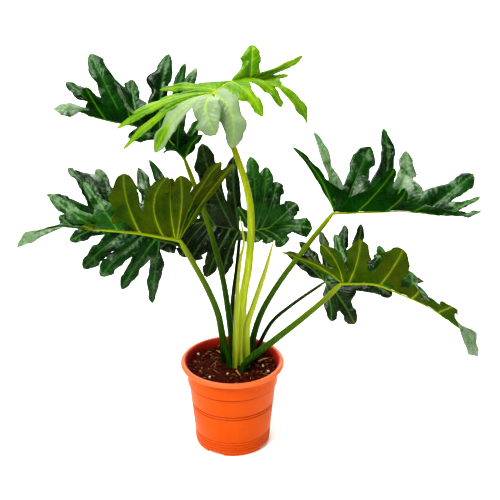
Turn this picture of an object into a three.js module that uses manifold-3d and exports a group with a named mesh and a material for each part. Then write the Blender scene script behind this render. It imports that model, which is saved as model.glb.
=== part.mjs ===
// A young split-leaf philodendron in a moulded nursery pot.
// Millimetres, +Z up. The origin is the centre of the pot's foot, +X runs along the plant's long spread,
// and -Y is the front. Each leaf is a thin closed blade on its own stalk.
import * as THREE from "three";
import { mergeVertices } from "three/addons/utils/BufferGeometryUtils.js";
import Module from "manifold-3d";

const wasm = await Module();
wasm.setup();

// Driving dimensions
const POT_HEIGHT = 167;
const LIP_RADIUS = 95;
const FOOT_RADIUS = 66;
const FLOOR_LOW = 5.6;
const FLOOR_TOP = 8;
const SOIL_TOP = 155;
const POT_SEGMENTS = 48;
const PAD_RADIUS = 14;
const NOTCH = { count: 4, width: 32, height: 7.5, first: -118 };
const DRAIN = { count: 6, radius: 5, circle: 42 };
const CROWN = { x: 10, y: 0, radius: 16, low: 111 };
const GAP = 0.3;
const BLADE_THICKNESS = 1.2;
const RIB_HALF_WIDTH = 1;
const STALK_CLEAR = 6; // from the end of a stalk to its junction
const STATIONS = 7; // steps along a lobe
const SINUS_STATION = 3; // the step at which two neighbouring lobes part
const SINUS_SHARE = 0.36; // how far out the cut between two lobes starts, where a lobe gives no other

// What each piece is made of
const FINISH = {
  pot: { color: "#f4641a", roughness: 0.5 },
  soil: { color: "#33180f", roughness: 1 },
  stem: { color: "#4a5a20", roughness: 0.7 },
  stalk: { color: "#3c7a18", roughness: 0.45 },
  youngStalk: { color: "#a8c41c", roughness: 0.4 },
  leaf: { color: "#1d5a18", roughness: 0.35 },
  youngLeaf: { color: "#7fc220", roughness: 0.35 },
  sheath: { color: "#cfdc44", roughness: 0.5 },
  root: { color: "#b08a5a", roughness: 0.9 },
  perlite: { color: "#e8e2dc", roughness: 1 },
};

// Each stalk: where its foot stands beside the crown's centre, the points it passes through up to the
// blade, and its radius at the foot and at the blade.
const STALKS = {
  front_left: {
    foot: [-14, -8],
    via: [[-16, -15, 215], [-25, -30, 277], [-41, -46, 331], [-60, -64, 381]],
    wide: [6.8, 4.4],
  },
  back_left: {
    foot: [-27, 9],
    via: [[-25, 22, 241], [-44, 36, 289], [-64, 42, 333], [-83, 40, 369], [-106, 31, 388]],
    wide: [4.5, 3.2],
  },
  upper_left: { foot: [-8, 15], via: [[-16, 30, 312], [-39, 48, 402], [-63, 62, 475]], wide: [6, 4] },
  young: {
    foot: [5, 0],
    via: [[20, -3, 295], [30, -8, 362], [34, -11, 459], [26, -12, 513], [4, -8, 583]],
    wide: [9, 4.2],
  },
  upper_right: { foot: [20, 8], via: [[50, 6, 251], [80, 8, 311], [120, 9, 372]], wide: [6.2, 4.2] },
  front_right: { foot: [9, -25], via: [[84, -44, 237], [121, -55, 276], [164, -69, 325]], wide: [7, 4.5] },
  back_right: { foot: [32, 20], via: [[72, 27, 229], [106, 32, 260]], wide: [4.2, 2.6] },
  centre_right: { foot: [17, 24], via: [[22, 50, 240], [26, 78, 310]], wide: [4.5, 3] },
  centre_left: { foot: [4, 26], via: [[0, 58, 240], [8, 104, 310]], wide: [4.5, 3] },
};

// One lobe: where its vein leaves the midrib (0 at the stalk, 1 at the end lobe), its tip from the
// junction, and its half width. The rest says how it differs from a plain lobe.
const lobe = (at, tip, wide, extra = {}) => ({ at, tip, wide, ...extra });

// Each leaf: its junction with the stalk, its midrib and every tip measured from that junction, and its
// lobes from the base forward. Left and right are as seen from above with the leaf's tip ahead.
const LEAVES = {
  front_left: {
    junction: [-85, -90, 446],
    midrib: [[-70, -5, 15], [-125, -5, 20], [-165, 0, 21], [-215, 8, 22]],
    end: lobe(1, [-276, -4, -14], 13, { up: [-0.1, -0.6, 0.8] }),
    left: [
      lobe(0, [91, 38, 122], 9, { sinus: 0.6, sweep: 0.02 }),
      lobe(0.01, [70, 22, 133], 11.5, { sinus: 0.34, sweep: 0.02 }),
      lobe(0.02, [4, -22, 124], 19, { sinus: 0.36, sweep: -0.06 }),
      lobe(0.03, [-10, -10, 115], 10, { sinus: 0.6, sweep: 0.04 }),
      lobe(0.1, [-16, -32, 124], 17, { sweep: 0.14, sinus: 0.24 }),
      lobe(0.24, [-86, -34, 132], 21, { sweep: 0.07, tooth: 8, sinus: 0.16 }),
      lobe(0.62, [-160, -22, 34], 10, { sinus: 0.2 }),
    ],
    right: [
      lobe(0, [55, 66, 84], 9),
      lobe(0.05, [25, 62, 45], 16),
      lobe(0.2, [-35, 72, 48], 22),
      lobe(0.4, [-164, 45, 86], 10, { sinus: 0.3, sweep: 0.02 }),
      lobe(0.58, [-221, 30, 68], 11, { sinus: 0.28, sweep: 0.02 }),
      lobe(0.8, [-205, 25, 34], 8),
    ],
  },
  back_left: {
    junction: [-128, 20, 398],
    midrib: [[-45, 5, 15], [-90, 5, 35], [-135, -5, 58]],
    end: lobe(1, [-195, -20, 95], 11),
    left: [
      lobe(0, [-14, -35, -110], 12, { tooth: -4 }),
      lobe(0.05, [-66, -55, -72], 13, { sinus: 0.45 }),
      lobe(0.2, [-102, -55, -46], 15, { sinus: 0.5 }),
      lobe(0.4, [-132, -55, -31], 15),
      lobe(0.6, [-155, -40, 15], 12),
      lobe(0.8, [-172, -25, 48], 9),
    ],
    right: [
      lobe(0, [-20, 62, 130], 12, { sweep: -0.22 }),
      lobe(0.12, [-40, 68, 112], 14, { sweep: -0.08, sinus: 0.3 }),
      lobe(0.4, [-112, 78, 108], 11, { sinus: 0.85 }),
      lobe(0.6, [-165, 58, 115], 13, { sinus: 0.4 }),
      lobe(0.76, [-138, 20, 102], 10, { sinus: 0.3 }),
      lobe(0.88, [-182, 5, 82], 9),
    ],
  },
  upper_left: {
    junction: [-82, 70, 532],
    midrib: [[-35, 0, 42], [-80, -5, 62], [-128, -20, 77], [-160, -33, 90]],
    end: lobe(1, [-220, -55, 110], 16, { up: [0.2, -0.6, 0.8] }),
    left: [
      lobe(0, [32, -25, 55], 12),
      lobe(0.02, [-30, -50, 35], 12),
      lobe(0.3, [-95, -55, 60], 12, { sinus: 0.2 }),
      lobe(0.56, [-116, -32, 151], 8, { sinus: 0.2 }),
      lobe(0.8, [-164, -44, 146], 9, { sinus: 0.3 }),
    ],
    right: [
      lobe(0, [25, 25, 65], 10),
      lobe(0.1, [20, 65, 150], 11),
      lobe(0.2, [0, 75, 155], 9),
      lobe(0.3, [-28, 65, 174], 15, { tooth: 12 }),
      lobe(0.5, [-95, 55, 130], 12, { sinus: 0.7 }),
      lobe(0.62, [-165, 45, 180], 16),
      lobe(0.8, [-205, 10, 140], 12),
      lobe(0.9, [-170, -10, 135], 8),
    ],
  },
  young: {
    junction: [-30, 0, 675],
    midrib: [[25, 20, 12], [50, 40, 17], [85, 55, 2]],
    end: lobe(1, [162, 38, -70], 17, { arc: 0.18 }),
    left: [
      lobe(0, [7, -72, -50], 25, { arc: 0.2, sweep: -0.07, sinus: 0.5 }),
      lobe(0, [-95, -75, -80], 20, { arc: 0.2, sinus: 0.42 }),
      lobe(0, [-150, -45, -85], 9, { arc: 0.14, sinus: 0.5 }),
      lobe(0, [-162, -25, -55], 9, { arc: 0.12, sinus: 0.4 }),
      lobe(0.02, [-137, -5, -35], 10, { sinus: 0.3 }),
      lobe(0.08, [-92, 35, -5], 9, { sinus: 0.1 }),
      lobe(0.8, [67, 70, 65], 15, { tooth: -8, sweep: 0, sinus: 0.2 }),
      lobe(0.86, [155, 108, 35], 6, { sinus: 0.3 }),
      lobe(0.95, [130, 90, 5], 4),
    ],
    right: [
      lobe(0, [30, -54, -80], 21, { arc: 0.26, sweep: 0.15, sinus: 0.42 }),
      lobe(0.4, [84, -18, -36], 11, { arc: 0.14, sinus: 0.2 }),
      lobe(0.75, [116, 14, -30], 15, { arc: 0.12 }),
    ],
  },
  upper_right: {
    junction: [179, 10, 454],
    midrib: [[70, 5, 0], [130, 5, 0], [195, -4, -5]],
    end: lobe(1, [260, -10, 10], 9, { arc: -0.05 }),
    left: [
      lobe(0, [-35, 60, 130], 9, { sinus: 0.34 }),
      lobe(0.08, [70, 90, 92], 22, { sweep: -0.04 }),
      lobe(0.35, [92, 98, 124], 14),
      lobe(0.5, [135, 100, 80], 14, { tooth: 7 }),
      lobe(0.82, [250, 50, 55], 18),
      lobe(0.97, [258, 12, 25], 6),
    ],
    right: [
      lobe(0, [-75, -20, 130], 8, { sinus: 0.2 }),
      lobe(0.2, [97, -56, 104], 11, { sinus: 0.3 }),
      lobe(0.45, [118, -48, 62], 10),
      lobe(0.72, [162, -42, 30], 10),
    ],
  },
  front_right: {
    junction: [190, -80, 360],
    midrib: [[60, -5, 0], [100, -10, -15], [150, -10, -40], [188, -10, -68]],
    end: lobe(1, [242, -18, -135], 23, { arc: 0.1, up: [0.5, -0.5, 0.7] }),
    left: [
      lobe(0, [-55, 60, 12], 8),
      lobe(0.03, [-10, 65, 65], 10),
      lobe(0.3, [70, 70, 40], 16),
      lobe(0.55, [125, 50, 0], 15),
      lobe(0.85, [182, 30, -62], 12),
    ],
    right: [
      lobe(0, [-105, 20, 50], 6, { sinus: 0.3 }),
      lobe(0.01, [-38, -22, 84], 17, { sinus: 0.16 }),
      lobe(0.05, [26, -32, 96], 20, { sinus: 0.2 }),
      lobe(0.28, [98, -36, 80], 23, { sweep: 0.02, tooth: -6, sinus: 0.14 }),
      lobe(0.6, [124, -48, 14], 15, { sinus: 0.2 }),
      lobe(0.86, [187, -35, -27], 19),
    ],
  },
  back_right: {
    junction: [168, 40, 305],
    midrib: [[45, 0, 5], [100, -5, 10], [135, -10, 10]],
    end: lobe(1, [180, -20, 10], 8),
    left: [
      lobe(0, [-70, 22, 50], 12),
      lobe(0, [-45, 50, 60], 10),
      lobe(0.02, [-5, 60, 75], 9),
      lobe(0.1, [40, 70, 85], 10),
      lobe(0.2, [70, 65, 90], 9),
      lobe(0.6, [105, 45, 38], 16),
    ],
    right: [
      lobe(0.01, [12, -40, -60], 12, { sinus: 0.7 }),
      lobe(0.04, [55, -42, -65], 14),
      lobe(0.5, [120, -38, -10], 12),
    ],
  },
  centre_right: {
    junction: [32, 95, 381],
    midrib: [[20, 0, 5], [55, -5, 15]],
    end: lobe(1, [115, -20, 15], 19, { up: [-0.1, -0.8, 0.6] }),
    left: [
      lobe(0, [-22, 4, 48], 9),
      lobe(0.05, [0, 50, 130], 14, { sinus: 0.5 }),
      lobe(0.25, [30, 50, 110], 14, { sinus: 0.52 }),
      lobe(0.5, [50, 40, 85], 16, { sinus: 0.62 }),
      lobe(0.75, [85, 20, 50], 17, { sinus: 0.6 }),
    ],
    right: [
      lobe(0, [15, -25, -10], 13, { sinus: 0.6 }),
      lobe(0.3, [40, -30, -8], 14, { sinus: 0.7 }),
      lobe(0.6, [65, -30, -12], 16, { sinus: 0.7 }),
    ],
  },
  centre_left: {
    junction: [14, 116, 374],
    midrib: [[-40, 0, 10], [-70, -5, 20], [-95, -10, 10]],
    end: lobe(1, [-149, -25, -26], 25, { up: [0.1, -0.9, 0.4] }),
    left: [
      lobe(0, [24, -16, -14], 9),
      lobe(0.02, [-32, -38, -75], 13),
      lobe(0.15, [-62, -43, -75], 14, { sinus: 0.6 }),
      lobe(0.4, [-90, -40, -42], 17, { sinus: 0.7 }),
      lobe(0.6, [-108, -35, -37], 16, { sinus: 0.6 }),
    ],
    right: [
      lobe(0, [-12, 50, 130], 14),
      lobe(0.1, [-70, 50, 155], 22),
      lobe(0.4, [-70, 25, 65], 16),
      lobe(0.75, [-100, 5, 12], 12),
    ],
  },
};

const SHEATHS = {
  left: {
    foot: [-5, -16],
    via: [[8, -19, 281], [17, -24, 388], [22, -26, 410]],
    end: [15, -27, 464], wide: 4.2,
  },
  right: {
    foot: [16, -13],
    via: [[27, -16, 246], [38, -16, 284], [59, -18, 354]],
    end: [74, -20, 415], wide: 7.2,
  },
};

const ROOTS = {
  left: { path: [[-17, 27, 157.8], [-23, 38, 160], [-30, 50, 157.6]], wide: 2.2 },
  back: { path: [[43, 44, 158.3], [50, 47, 166], [59, 49, 171], [66, 50, 174]], wide: 2.3 },
  right: { path: [[48, 7, 158], [57, 13, 159.5], [68, 21, 157.8]], wide: 2.3 },
  front: { path: [[8, -28, 158], [10, -36, 160], [15, -44, 157.8]], wide: 2.2 },
};

const PERLITE = [[-64, 38, 2.6], [-8, -36, 2.4], [56, -8, 2.8], [66, -26, 2.2], [-40, -48, 2.3]];

const vec = (p) => new THREE.Vector3(...p);
const mix = (a, b, share) => a.clone().lerp(b, share);
const smooth = (x) => THREE.MathUtils.smoothstep(x, 0, 1);

const part = new THREE.Group();

function place(name, geometry, finish) {
  const mesh = new THREE.Mesh(geometry, new THREE.MeshStandardMaterial({ metalness: 0, ...finish }));
  mesh.name = name;
  part.add(mesh);
  return mesh;
}

// Positions only, with shared corners merged, which is what a closed solid needs.
function welded(geometry) {
  const bare = geometry.clone();
  bare.deleteAttribute("normal");
  bare.deleteAttribute("uv");
  return mergeVertices(bare, 1e-3);
}

function toSolid(geometry) {
  const g = welded(geometry);
  return new wasm.Manifold(
    new wasm.Mesh({
      numProp: 3,
      vertProperties: new Float32Array(g.attributes.position.array),
      triVerts: new Uint32Array(g.index.array),
    }),
  );
}

function toGeometry(solid) {
  const mesh = solid.getMesh();
  const geometry = new THREE.BufferGeometry();
  geometry.setAttribute("position", new THREE.BufferAttribute(new Float32Array(mesh.vertProperties), 3));
  geometry.setIndex(new THREE.BufferAttribute(new Uint32Array(mesh.triVerts), 1));
  return geometry;
}

// A turned solid standing on the Z axis, from a profile of [radius, height] pairs.
function turned(profile, segments) {
  const points = profile.map(([radius, height]) => new THREE.Vector2(radius, height));
  return new THREE.LatheGeometry(points, segments).rotateX(Math.PI / 2);
}

function upright(radius, low, high, segments) {
  const length = high - low;
  return new THREE.CylinderGeometry(radius, radius, length, segments)
    .rotateX(Math.PI / 2)
    .translate(0, 0, low + length / 2);
}

// The wall is 2.3 mm thick. Outside, from the foot up: a rounded heel, the long taper with its double
// groove, the step to the shoulder band, and the rolled lip.
function pot() {
  const outside = [
    [FOOT_RADIUS, 0], [68.4, 3], [69.7, 9], [70.6, 30],
    [75.7, 80.3], [74.8, 81.5], [76, 82.7], [76.3, 85.8], [75.4, 87], [76.7, 88.2],
    [81, 125.5], [82.6, 127], [84.2, 155],
    [87, 157], [92.2, 157.6], [LIP_RADIUS, 161], [94.4, 165], [91.4, POT_HEIGHT],
  ];
  const inside = [
    [87.2, 166.2], [84.6, 163.2], [82, 155], [79.8, 127], [68.2, 30], [67.2, 11], [65, FLOOR_TOP],
  ];
  const foot = [[0, 0], [PAD_RADIUS, 0], [PAD_RADIUS + 1, FLOOR_LOW], [63.2, FLOOR_LOW], [62.8, 0]];
  let solid = toSolid(turned([...foot, ...outside, ...inside, [0, FLOOR_TOP]], POT_SEGMENTS));
  for (let i = 0; i < NOTCH.count; i++) {
    const angle = THREE.MathUtils.degToRad(NOTCH.first + (i * 360) / NOTCH.count);
    const cut = new THREE.BoxGeometry(24, NOTCH.width, NOTCH.height - 2)
      .translate(FOOT_RADIUS + 4, 0, NOTCH.height / 2 - 2)
      .rotateZ(angle);
    solid = solid.subtract(toSolid(cut));
  }
  for (let i = 0; i < DRAIN.count; i++) {
    const angle = ((i + 0.5) * 2 * Math.PI) / DRAIN.count;
    const drill = upright(DRAIN.radius, FLOOR_LOW - 2, FLOOR_TOP + 2, 12);
    drill.translate(DRAIN.circle * Math.cos(angle), DRAIN.circle * Math.sin(angle), 0);
    solid = solid.subtract(toSolid(drill));
  }
  place("pot", toGeometry(solid), FINISH.pot);
}

// The soil fills the pot, with a pocket for the buried crown.
function soil() {
  const low = FLOOR_TOP + GAP;
  const profile = [[0, low], [64.6, low], [66.8, 11.3], [67.8, 30], [79.4, 127], [81.5, 154], [78, SOIL_TOP]];
  const pocket = upright(CROWN.radius + GAP, CROWN.low - GAP, SOIL_TOP + 5, 20);
  pocket.translate(CROWN.x, CROWN.y, 0);
  const solid = toSolid(turned([...profile, [0, SOIL_TOP]], POT_SEGMENTS)).subtract(toSolid(pocket));
  place("soil", toGeometry(solid), FINISH.soil);
}

// The short stem under the soil that all the stalks grow from.
function crown() {
  const { x, y, radius, low } = CROWN;
  const top = SOIL_TOP - GAP;
  const profile = [[0, low], [9, low + 1], [radius, low + 14], [radius, top - 1], [0, top]];
  place("crown", turned(profile, 16).translate(x, y, 0), FINISH.stem);
}

// A round tube along a smooth curve, narrowing from one radius to another.
function taperedTube(points, from, to, sides, steps) {
  const path = new THREE.CatmullRomCurve3(points, false, "centripetal");
  const section = new THREE.Shape().absarc(0, 0, 1, 0, 2 * Math.PI); // an arc has two sides a segment
  const options = { steps, extrudePath: path, bevelEnabled: false, curveSegments: sides / 2 };
  const geometry = new THREE.ExtrudeGeometry(section, options);
  const centres = path.getSpacedPoints(steps);
  const position = geometry.attributes.position;
  const point = new THREE.Vector3();
  for (let i = 0; i < position.count; i++) {
    point.fromBufferAttribute(position, i);
    let nearest = 0;
    centres.forEach((c, k) => {
      if (c.distanceTo(point) < centres[nearest].distanceTo(point)) nearest = k;
    });
    const radius = THREE.MathUtils.lerp(from, to, nearest / steps);
    point.sub(centres[nearest]).multiplyScalar(radius).add(centres[nearest]);
    position.setXYZ(i, ...point);
  }
  return geometry;
}

function footOn(soilPlace) {
  return vec([CROWN.x + soilPlace[0], CROWN.y + soilPlace[1], SOIL_TOP + 2]);
}

// A stalk stands on the soil beside the crown and stops just under its blade.
function stalk(name, { foot, via, wide }) {
  const junction = vec(LEAVES[name].junction);
  const last = vec(via[via.length - 1]);
  const end = mix(junction, last, STALK_CLEAR / junction.distanceTo(last));
  const base = footOn(foot);
  const rise = vec(via[0]).sub(base).normalize().add(vec([0, 0, 2])).normalize();
  const points = [base, base.clone().addScaledVector(rise, 16), ...via.map(vec), end];
  const finish = name === "young" ? FINISH.youngStalk : FINISH.stalk;
  place("petiole_" + name, taperedTube(points, wide[0], wide[1], 8, 11), finish);
}

function sheath(name, { foot, via, end, wide }) {
  const base = footOn(foot);
  const points = [base, base.clone().add(vec([0, 0, 12])), ...via.map(vec), vec(end)];
  place("sheath_" + name, taperedTube(points, wide, 0.6, 8, 9), FINISH.sheath);
}

// A vein is a curve from the midrib to the lobe's tip. It bows to the upper side by arc and towards the
// leaf's tip by sweep, both as shares of its length.
function vein(start, tip, upper, forward, { arc = 0.08, sweep = 0.05 }) {
  const length = start.distanceTo(tip);
  const middle = mix(start, tip, 0.5)
    .addScaledVector(upper, 2 * arc * length)
    .addScaledVector(forward, 2 * sweep * length);
  return new THREE.QuadraticBezierCurve3(start, middle, tip);
}

// The half width of a lobe's free part, from its narrow neck (0) over its widest place to its tip (1).
function lobeShape(along) {
  const widest = 0.45;
  if (along < widest) return 0.66 + 0.34 * Math.sin((Math.PI / 2) * (along / widest));
  return (1 - ((along - widest) / (1 - widest)) ** 2) ** 0.6;
}

// One side of a leaf: its veins, with each one's own upper direction from the lobes beside it.
function veinsOf(leaf, side, midrib) {
  const junction = vec(leaf.junction);
  const turn = side === "left" ? -1 : 1;
  const rows = [...leaf[side], leaf.end];
  const roots = rows.map((row) => midrib.getPoint(row.at));
  const spokes = rows.map((row, i) => vec(row.tip).add(junction).sub(roots[i]));
  const forward = midrib.getPoint(1).sub(midrib.getPoint(0)).normalize();
  return rows.map((row, i) => {
    let upper = spokes[i].clone().cross(forward).multiplyScalar(turn * 40);
    if (i > 0) upper.addScaledVector(spokes[i - 1].clone().cross(spokes[i]), turn);
    if (i < rows.length - 1) upper.addScaledVector(spokes[i].clone().cross(spokes[i + 1]), turn);
    if (row.up) upper = vec(row.up);
    upper.normalize();
    const tip = spokes[i].clone().add(roots[i]);
    const curve = vein(roots[i], tip, upper, forward, row);
    return { ...row, curve, upper, turn };
  });
}

// Both halves of the end lobe share one vein, which bows along the mean of their upper directions.
function shareEndVein(left, right, midrib) {
  const ends = [left, right].map((veins) => veins[veins.length - 1]);
  const upper = ends[0].upper.clone().add(ends[1].upper).normalize();
  const forward = midrib.getPoint(1).sub(midrib.getPoint(0)).normalize();
  const curve = vein(ends[0].curve.v0, ends[0].curve.v2, upper, forward, ends[0]);
  ends.forEach((end) => Object.assign(end, { upper, curve }));
}

// How far a free edge stands from its vein. ahead is 1 on the edge towards the leaf's tip, -1 on the other.
function edgeOffset(v, share, along, start, ahead) {
  const across = v.curve.getTangent(share).cross(v.upper).normalize().multiplyScalar(-v.turn * ahead);
  const parted = smooth(Math.min(1, along / 0.35));
  let width = v.wide * lobeShape(along);
  if (v.tooth && Math.sign(v.tooth) === ahead) {
    width += Math.abs(v.tooth) * Math.exp(-(((along - 0.42) / 0.14) ** 2));
  }
  return start.clone().multiplyScalar(1 - parted).addScaledVector(across, width * parted);
}

// A vein's edge on one side, station by station. web holds the points shared with the next lobe.
function edgeOf(v, web, cut, ahead) {
  const points = [];
  const start = web ? web[SINUS_STATION].clone().sub(v.curve.getPoint(cut)) : new THREE.Vector3();
  for (let k = 0; k <= STATIONS; k++) {
    if (web && k <= SINUS_STATION) {
      points.push(web[k]);
      continue;
    }
    const first = web ? SINUS_STATION : 0;
    const along = (k - first) / (STATIONS - first);
    const share = web ? THREE.MathUtils.lerp(cut, 1, along) : along;
    points.push(v.curve.getPoint(share).add(edgeOffset(v, share, along, start, ahead)));
  }
  return points;
}

// The web between two veins runs halfway between them, out to the cut.
function webOf(a, b, cut, midrib) {
  const points = [midrib.getPoint((a.at + b.at) / 2)];
  for (let k = 1; k <= SINUS_STATION; k++) {
    const share = (cut * k) / SINUS_STATION;
    points.push(mix(a.curve.getPoint(share), b.curve.getPoint(share), 0.5));
  }
  return points;
}

// A growing sheet of triangles whose equal points are one corner.
class Sheet {
  constructor() {
    this.points = [];
    this.faces = [];
    this.known = new Map();
  }
  corner(p) {
    const key = [p.x, p.y, p.z].map((v) => Math.round(v * 50)).join();
    if (!this.known.has(key)) {
      this.known.set(key, this.points.length);
      this.points.push(p.clone());
    }
    return this.known.get(key);
  }
  face(a, b, c) {
    if (a !== b && b !== c && a !== c) this.faces.push([a, b, c]);
  }
  // The cells between two lines of points, facing up when turn is 1.
  strip(one, two, turn) {
    const a = one.map((p) => this.corner(p));
    const b = two.map((p) => this.corner(p));
    for (let k = 0; k < a.length - 1; k++) {
      const quad = turn > 0 ? [a[k], b[k], b[k + 1], a[k + 1]] : [a[k], a[k + 1], b[k + 1], b[k]];
      this.face(quad[0], quad[1], quad[2]);
      this.face(quad[0], quad[2], quad[3]);
    }
  }
}

// Both skins and the rim of a sheet that is thickness thick.
function thickened(sheet, thickness) {
  const { points, faces } = sheet;
  const normals = points.map(() => new THREE.Vector3());
  for (const [a, b, c] of faces) {
    const normal = points[b].clone().sub(points[a]).cross(points[c].clone().sub(points[a]));
    [a, b, c].forEach((i) => normals[i].add(normal));
  }
  normals.forEach((n) => n.normalize().multiplyScalar(thickness / 2));
  const over = points.map((p, i) => p.clone().add(normals[i]));
  const under = points.map((p, i) => p.clone().sub(normals[i]));
  const count = points.length;
  const index = [];
  const open = new Map();
  for (const [a, b, c] of faces) {
    index.push(a, b, c, count + a, count + c, count + b);
    [[a, b], [b, c], [c, a]].forEach(([p, q]) => {
      if (!open.delete(q + "," + p)) open.set(p + "," + q, [p, q]);
    });
  }
  for (const [p, q] of open.values()) index.push(p, count + p, count + q, p, count + q, q);
  const geometry = new THREE.BufferGeometry().setFromPoints([...over, ...under]);
  return geometry.setIndex(index);
}

// Cuts the strip between the two sides' first points, which follows the midrib.
function ribStrip(sheet, left, right) {
  let i = 0;
  let j = 0;
  while (i < left.length - 1 || j < right.length - 1) {
    const a = sheet.corner(left[i].point);
    const b = sheet.corner(right[j].point);
    const stepLeft = j === right.length - 1 || (i < left.length - 1 && left[i + 1].at <= right[j + 1].at);
    const next = stepLeft ? left[++i] : right[++j];
    sheet.face(a, b, sheet.corner(next.point));
  }
}

// The sheet's left and right halves, each a fan of lobes joined by webs, then the end lobe's halves.
function halfBlade(sheet, veins, midrib) {
  const roots = [];
  const beside = (at) => {
    const forward = midrib.getTangent(at);
    const first = veins[Math.min(2, veins.length - 2)];
    const out = forward.cross(first.upper).normalize().multiplyScalar(first.turn);
    return out.multiplyScalar(RIB_HALF_WIDTH * (1 - at));
  };
  const rooted = (at) => {
    const point = midrib.getPoint(at).add(beside(at));
    if (!roots.length || roots[roots.length - 1].point.distanceTo(point) > 0.05) roots.push({ at, point });
    return point;
  };
  let web = null;
  let cut = 0;
  veins.forEach((v, i) => {
    const last = i === veins.length - 1;
    const spine = [];
    for (let k = 0; k <= STATIONS; k++) spine.push(v.curve.getPoint(k / STATIONS));
    spine[0] = rooted(v.at);
    const back = edgeOf(v, web, cut, -1);
    if (!web) back[0] = spine[0];
    sheet.strip(spine, back, v.turn);
    if (last) return;
    cut = v.sinus ?? SINUS_SHARE;
    web = webOf(v, veins[i + 1], cut, midrib);
    web[0] = rooted((v.at + veins[i + 1].at) / 2);
    sheet.strip(edgeOf(v, web, cut, 1), spine, v.turn);
  });
  return roots;
}

function blade(name, leaf) {
  const origin = vec(leaf.junction);
  const along = [origin, ...leaf.midrib.map((p) => vec(p).add(origin))];
  const midrib = new THREE.CatmullRomCurve3(along, false, "centripetal");
  const sheet = new Sheet();
  const [left, right] = ["left", "right"].map((side) => veinsOf(leaf, side, midrib));
  shareEndVein(left, right, midrib);
  ribStrip(sheet, halfBlade(sheet, left, midrib), halfBlade(sheet, right, midrib));
  const finish = name === "young" ? FINISH.youngLeaf : FINISH.leaf;
  place("blade_" + name, thickened(sheet, BLADE_THICKNESS), finish);
}

function root(name, { path, wide }) {
  place("root_" + name, taperedTube(path.map(vec), wide, wide * 0.5, 6, 5), FINISH.root);
}

function perlite([x, y, radius], i) {
  const grain = new THREE.IcosahedronGeometry(radius, 0).rotateX(i).rotateY(2 * i).scale(1.1, 0.9, 0.8);
  grain.computeBoundingBox();
  grain.translate(x, y, SOIL_TOP + GAP - grain.boundingBox.min.z);
  place("perlite_" + (i + 1), grain, FINISH.perlite);
}

pot();
soil();
crown();
Object.entries(STALKS).forEach(([name, way]) => stalk(name, way));
Object.entries(LEAVES).forEach(([name, leaf]) => blade(name, leaf));
Object.entries(SHEATHS).forEach(([name, way]) => sheath(name, way));
Object.entries(ROOTS).forEach(([name, way]) => root(name, way));
PERLITE.forEach(perlite);

export default part;
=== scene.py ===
# %% [markdown]
# # A potted philodendron
# A young split-leaf philodendron in a moulded nursery pot. Nine deeply cut leaves stand on long bare
# stalks that all grow from one short stem, buried in dark potting mix. Leaves are thin, folded and wavy,
# so most of this lesson is about laying flat grids along curves until they read as living blades.
# Everything is in metres, with +Z up and the pot standing at the origin.

# %% Load the fixed frame
import math
import random

import bpy
import numpy as np
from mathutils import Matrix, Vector, noise


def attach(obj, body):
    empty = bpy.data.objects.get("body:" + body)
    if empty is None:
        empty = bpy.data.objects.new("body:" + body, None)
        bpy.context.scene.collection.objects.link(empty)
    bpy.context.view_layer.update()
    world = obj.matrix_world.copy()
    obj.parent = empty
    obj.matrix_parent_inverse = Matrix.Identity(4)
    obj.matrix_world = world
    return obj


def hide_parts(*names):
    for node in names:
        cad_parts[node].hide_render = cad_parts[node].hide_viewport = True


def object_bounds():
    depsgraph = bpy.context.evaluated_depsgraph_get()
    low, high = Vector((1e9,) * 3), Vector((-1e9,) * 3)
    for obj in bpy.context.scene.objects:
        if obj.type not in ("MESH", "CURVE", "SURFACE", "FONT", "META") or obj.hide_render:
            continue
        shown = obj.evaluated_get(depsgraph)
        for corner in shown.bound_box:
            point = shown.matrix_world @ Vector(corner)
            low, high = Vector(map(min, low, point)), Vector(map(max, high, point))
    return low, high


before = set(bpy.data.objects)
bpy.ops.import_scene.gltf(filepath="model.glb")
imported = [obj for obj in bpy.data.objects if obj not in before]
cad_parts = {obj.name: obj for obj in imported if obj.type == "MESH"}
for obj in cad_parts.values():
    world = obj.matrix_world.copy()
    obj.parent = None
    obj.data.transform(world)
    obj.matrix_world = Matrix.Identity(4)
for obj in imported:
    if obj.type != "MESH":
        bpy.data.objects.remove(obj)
cad_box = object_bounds()
random.seed(11)
bpy.ops.object.select_all(action="DESELECT")
print("frame:", len(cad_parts), "nodes, from", tuple(cad_box[0]), "to", tuple(cad_box[1]))

# %% [markdown]
# ## Camera, floor and light
# The camera looks straight along +Y and about 24 degrees down, through a long lens, so that the pot's rim
# shows as an open ellipse. A wide key light, three soft boxes and a bright sky stand in for a white studio.
# The box behind the plant matters most: leaf wax only looks waxy where it mirrors something bright.

# %% Camera
TARGET = Vector((0.0325, 0, 0.387))
DISTANCE = 2.2
PITCH = math.radians(23.96)
LENS_MM, SENSOR_MM = 89.5, 36

away = Vector((0, -math.cos(PITCH), math.sin(PITCH)))
bpy.ops.object.camera_add(location=TARGET + DISTANCE * away, rotation=(math.pi / 2 - PITCH, 0, 0))
camera = bpy.context.object
camera.data.lens = LENS_MM
camera.data.sensor_width = SENSOR_MM
bpy.context.scene.camera = camera
print("camera at", tuple(round(x, 3) for x in camera.location))

# %% Small functions that feed a node, add one, and read a colour
def feed(node, inputs):
    """Links each socket it is given, and sets each plain value."""
    for key, value in inputs.items():
        if isinstance(value, bpy.types.NodeSocket):
            node.id_data.links.new(value, node.inputs[key])
        else:
            node.inputs[key].default_value = value


def add(tree, kind, inputs=None, out=None, **settings):
    """Adds a node with its settings and links. Gives back the output called out, or else the first in use."""
    made = tree.nodes.new("ShaderNode" + kind)
    for key, value in settings.items():
        setattr(made, key, value)
    feed(made, inputs or {})
    return made.outputs[out] if out else next(socket for socket in made.outputs if socket.enabled)


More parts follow.
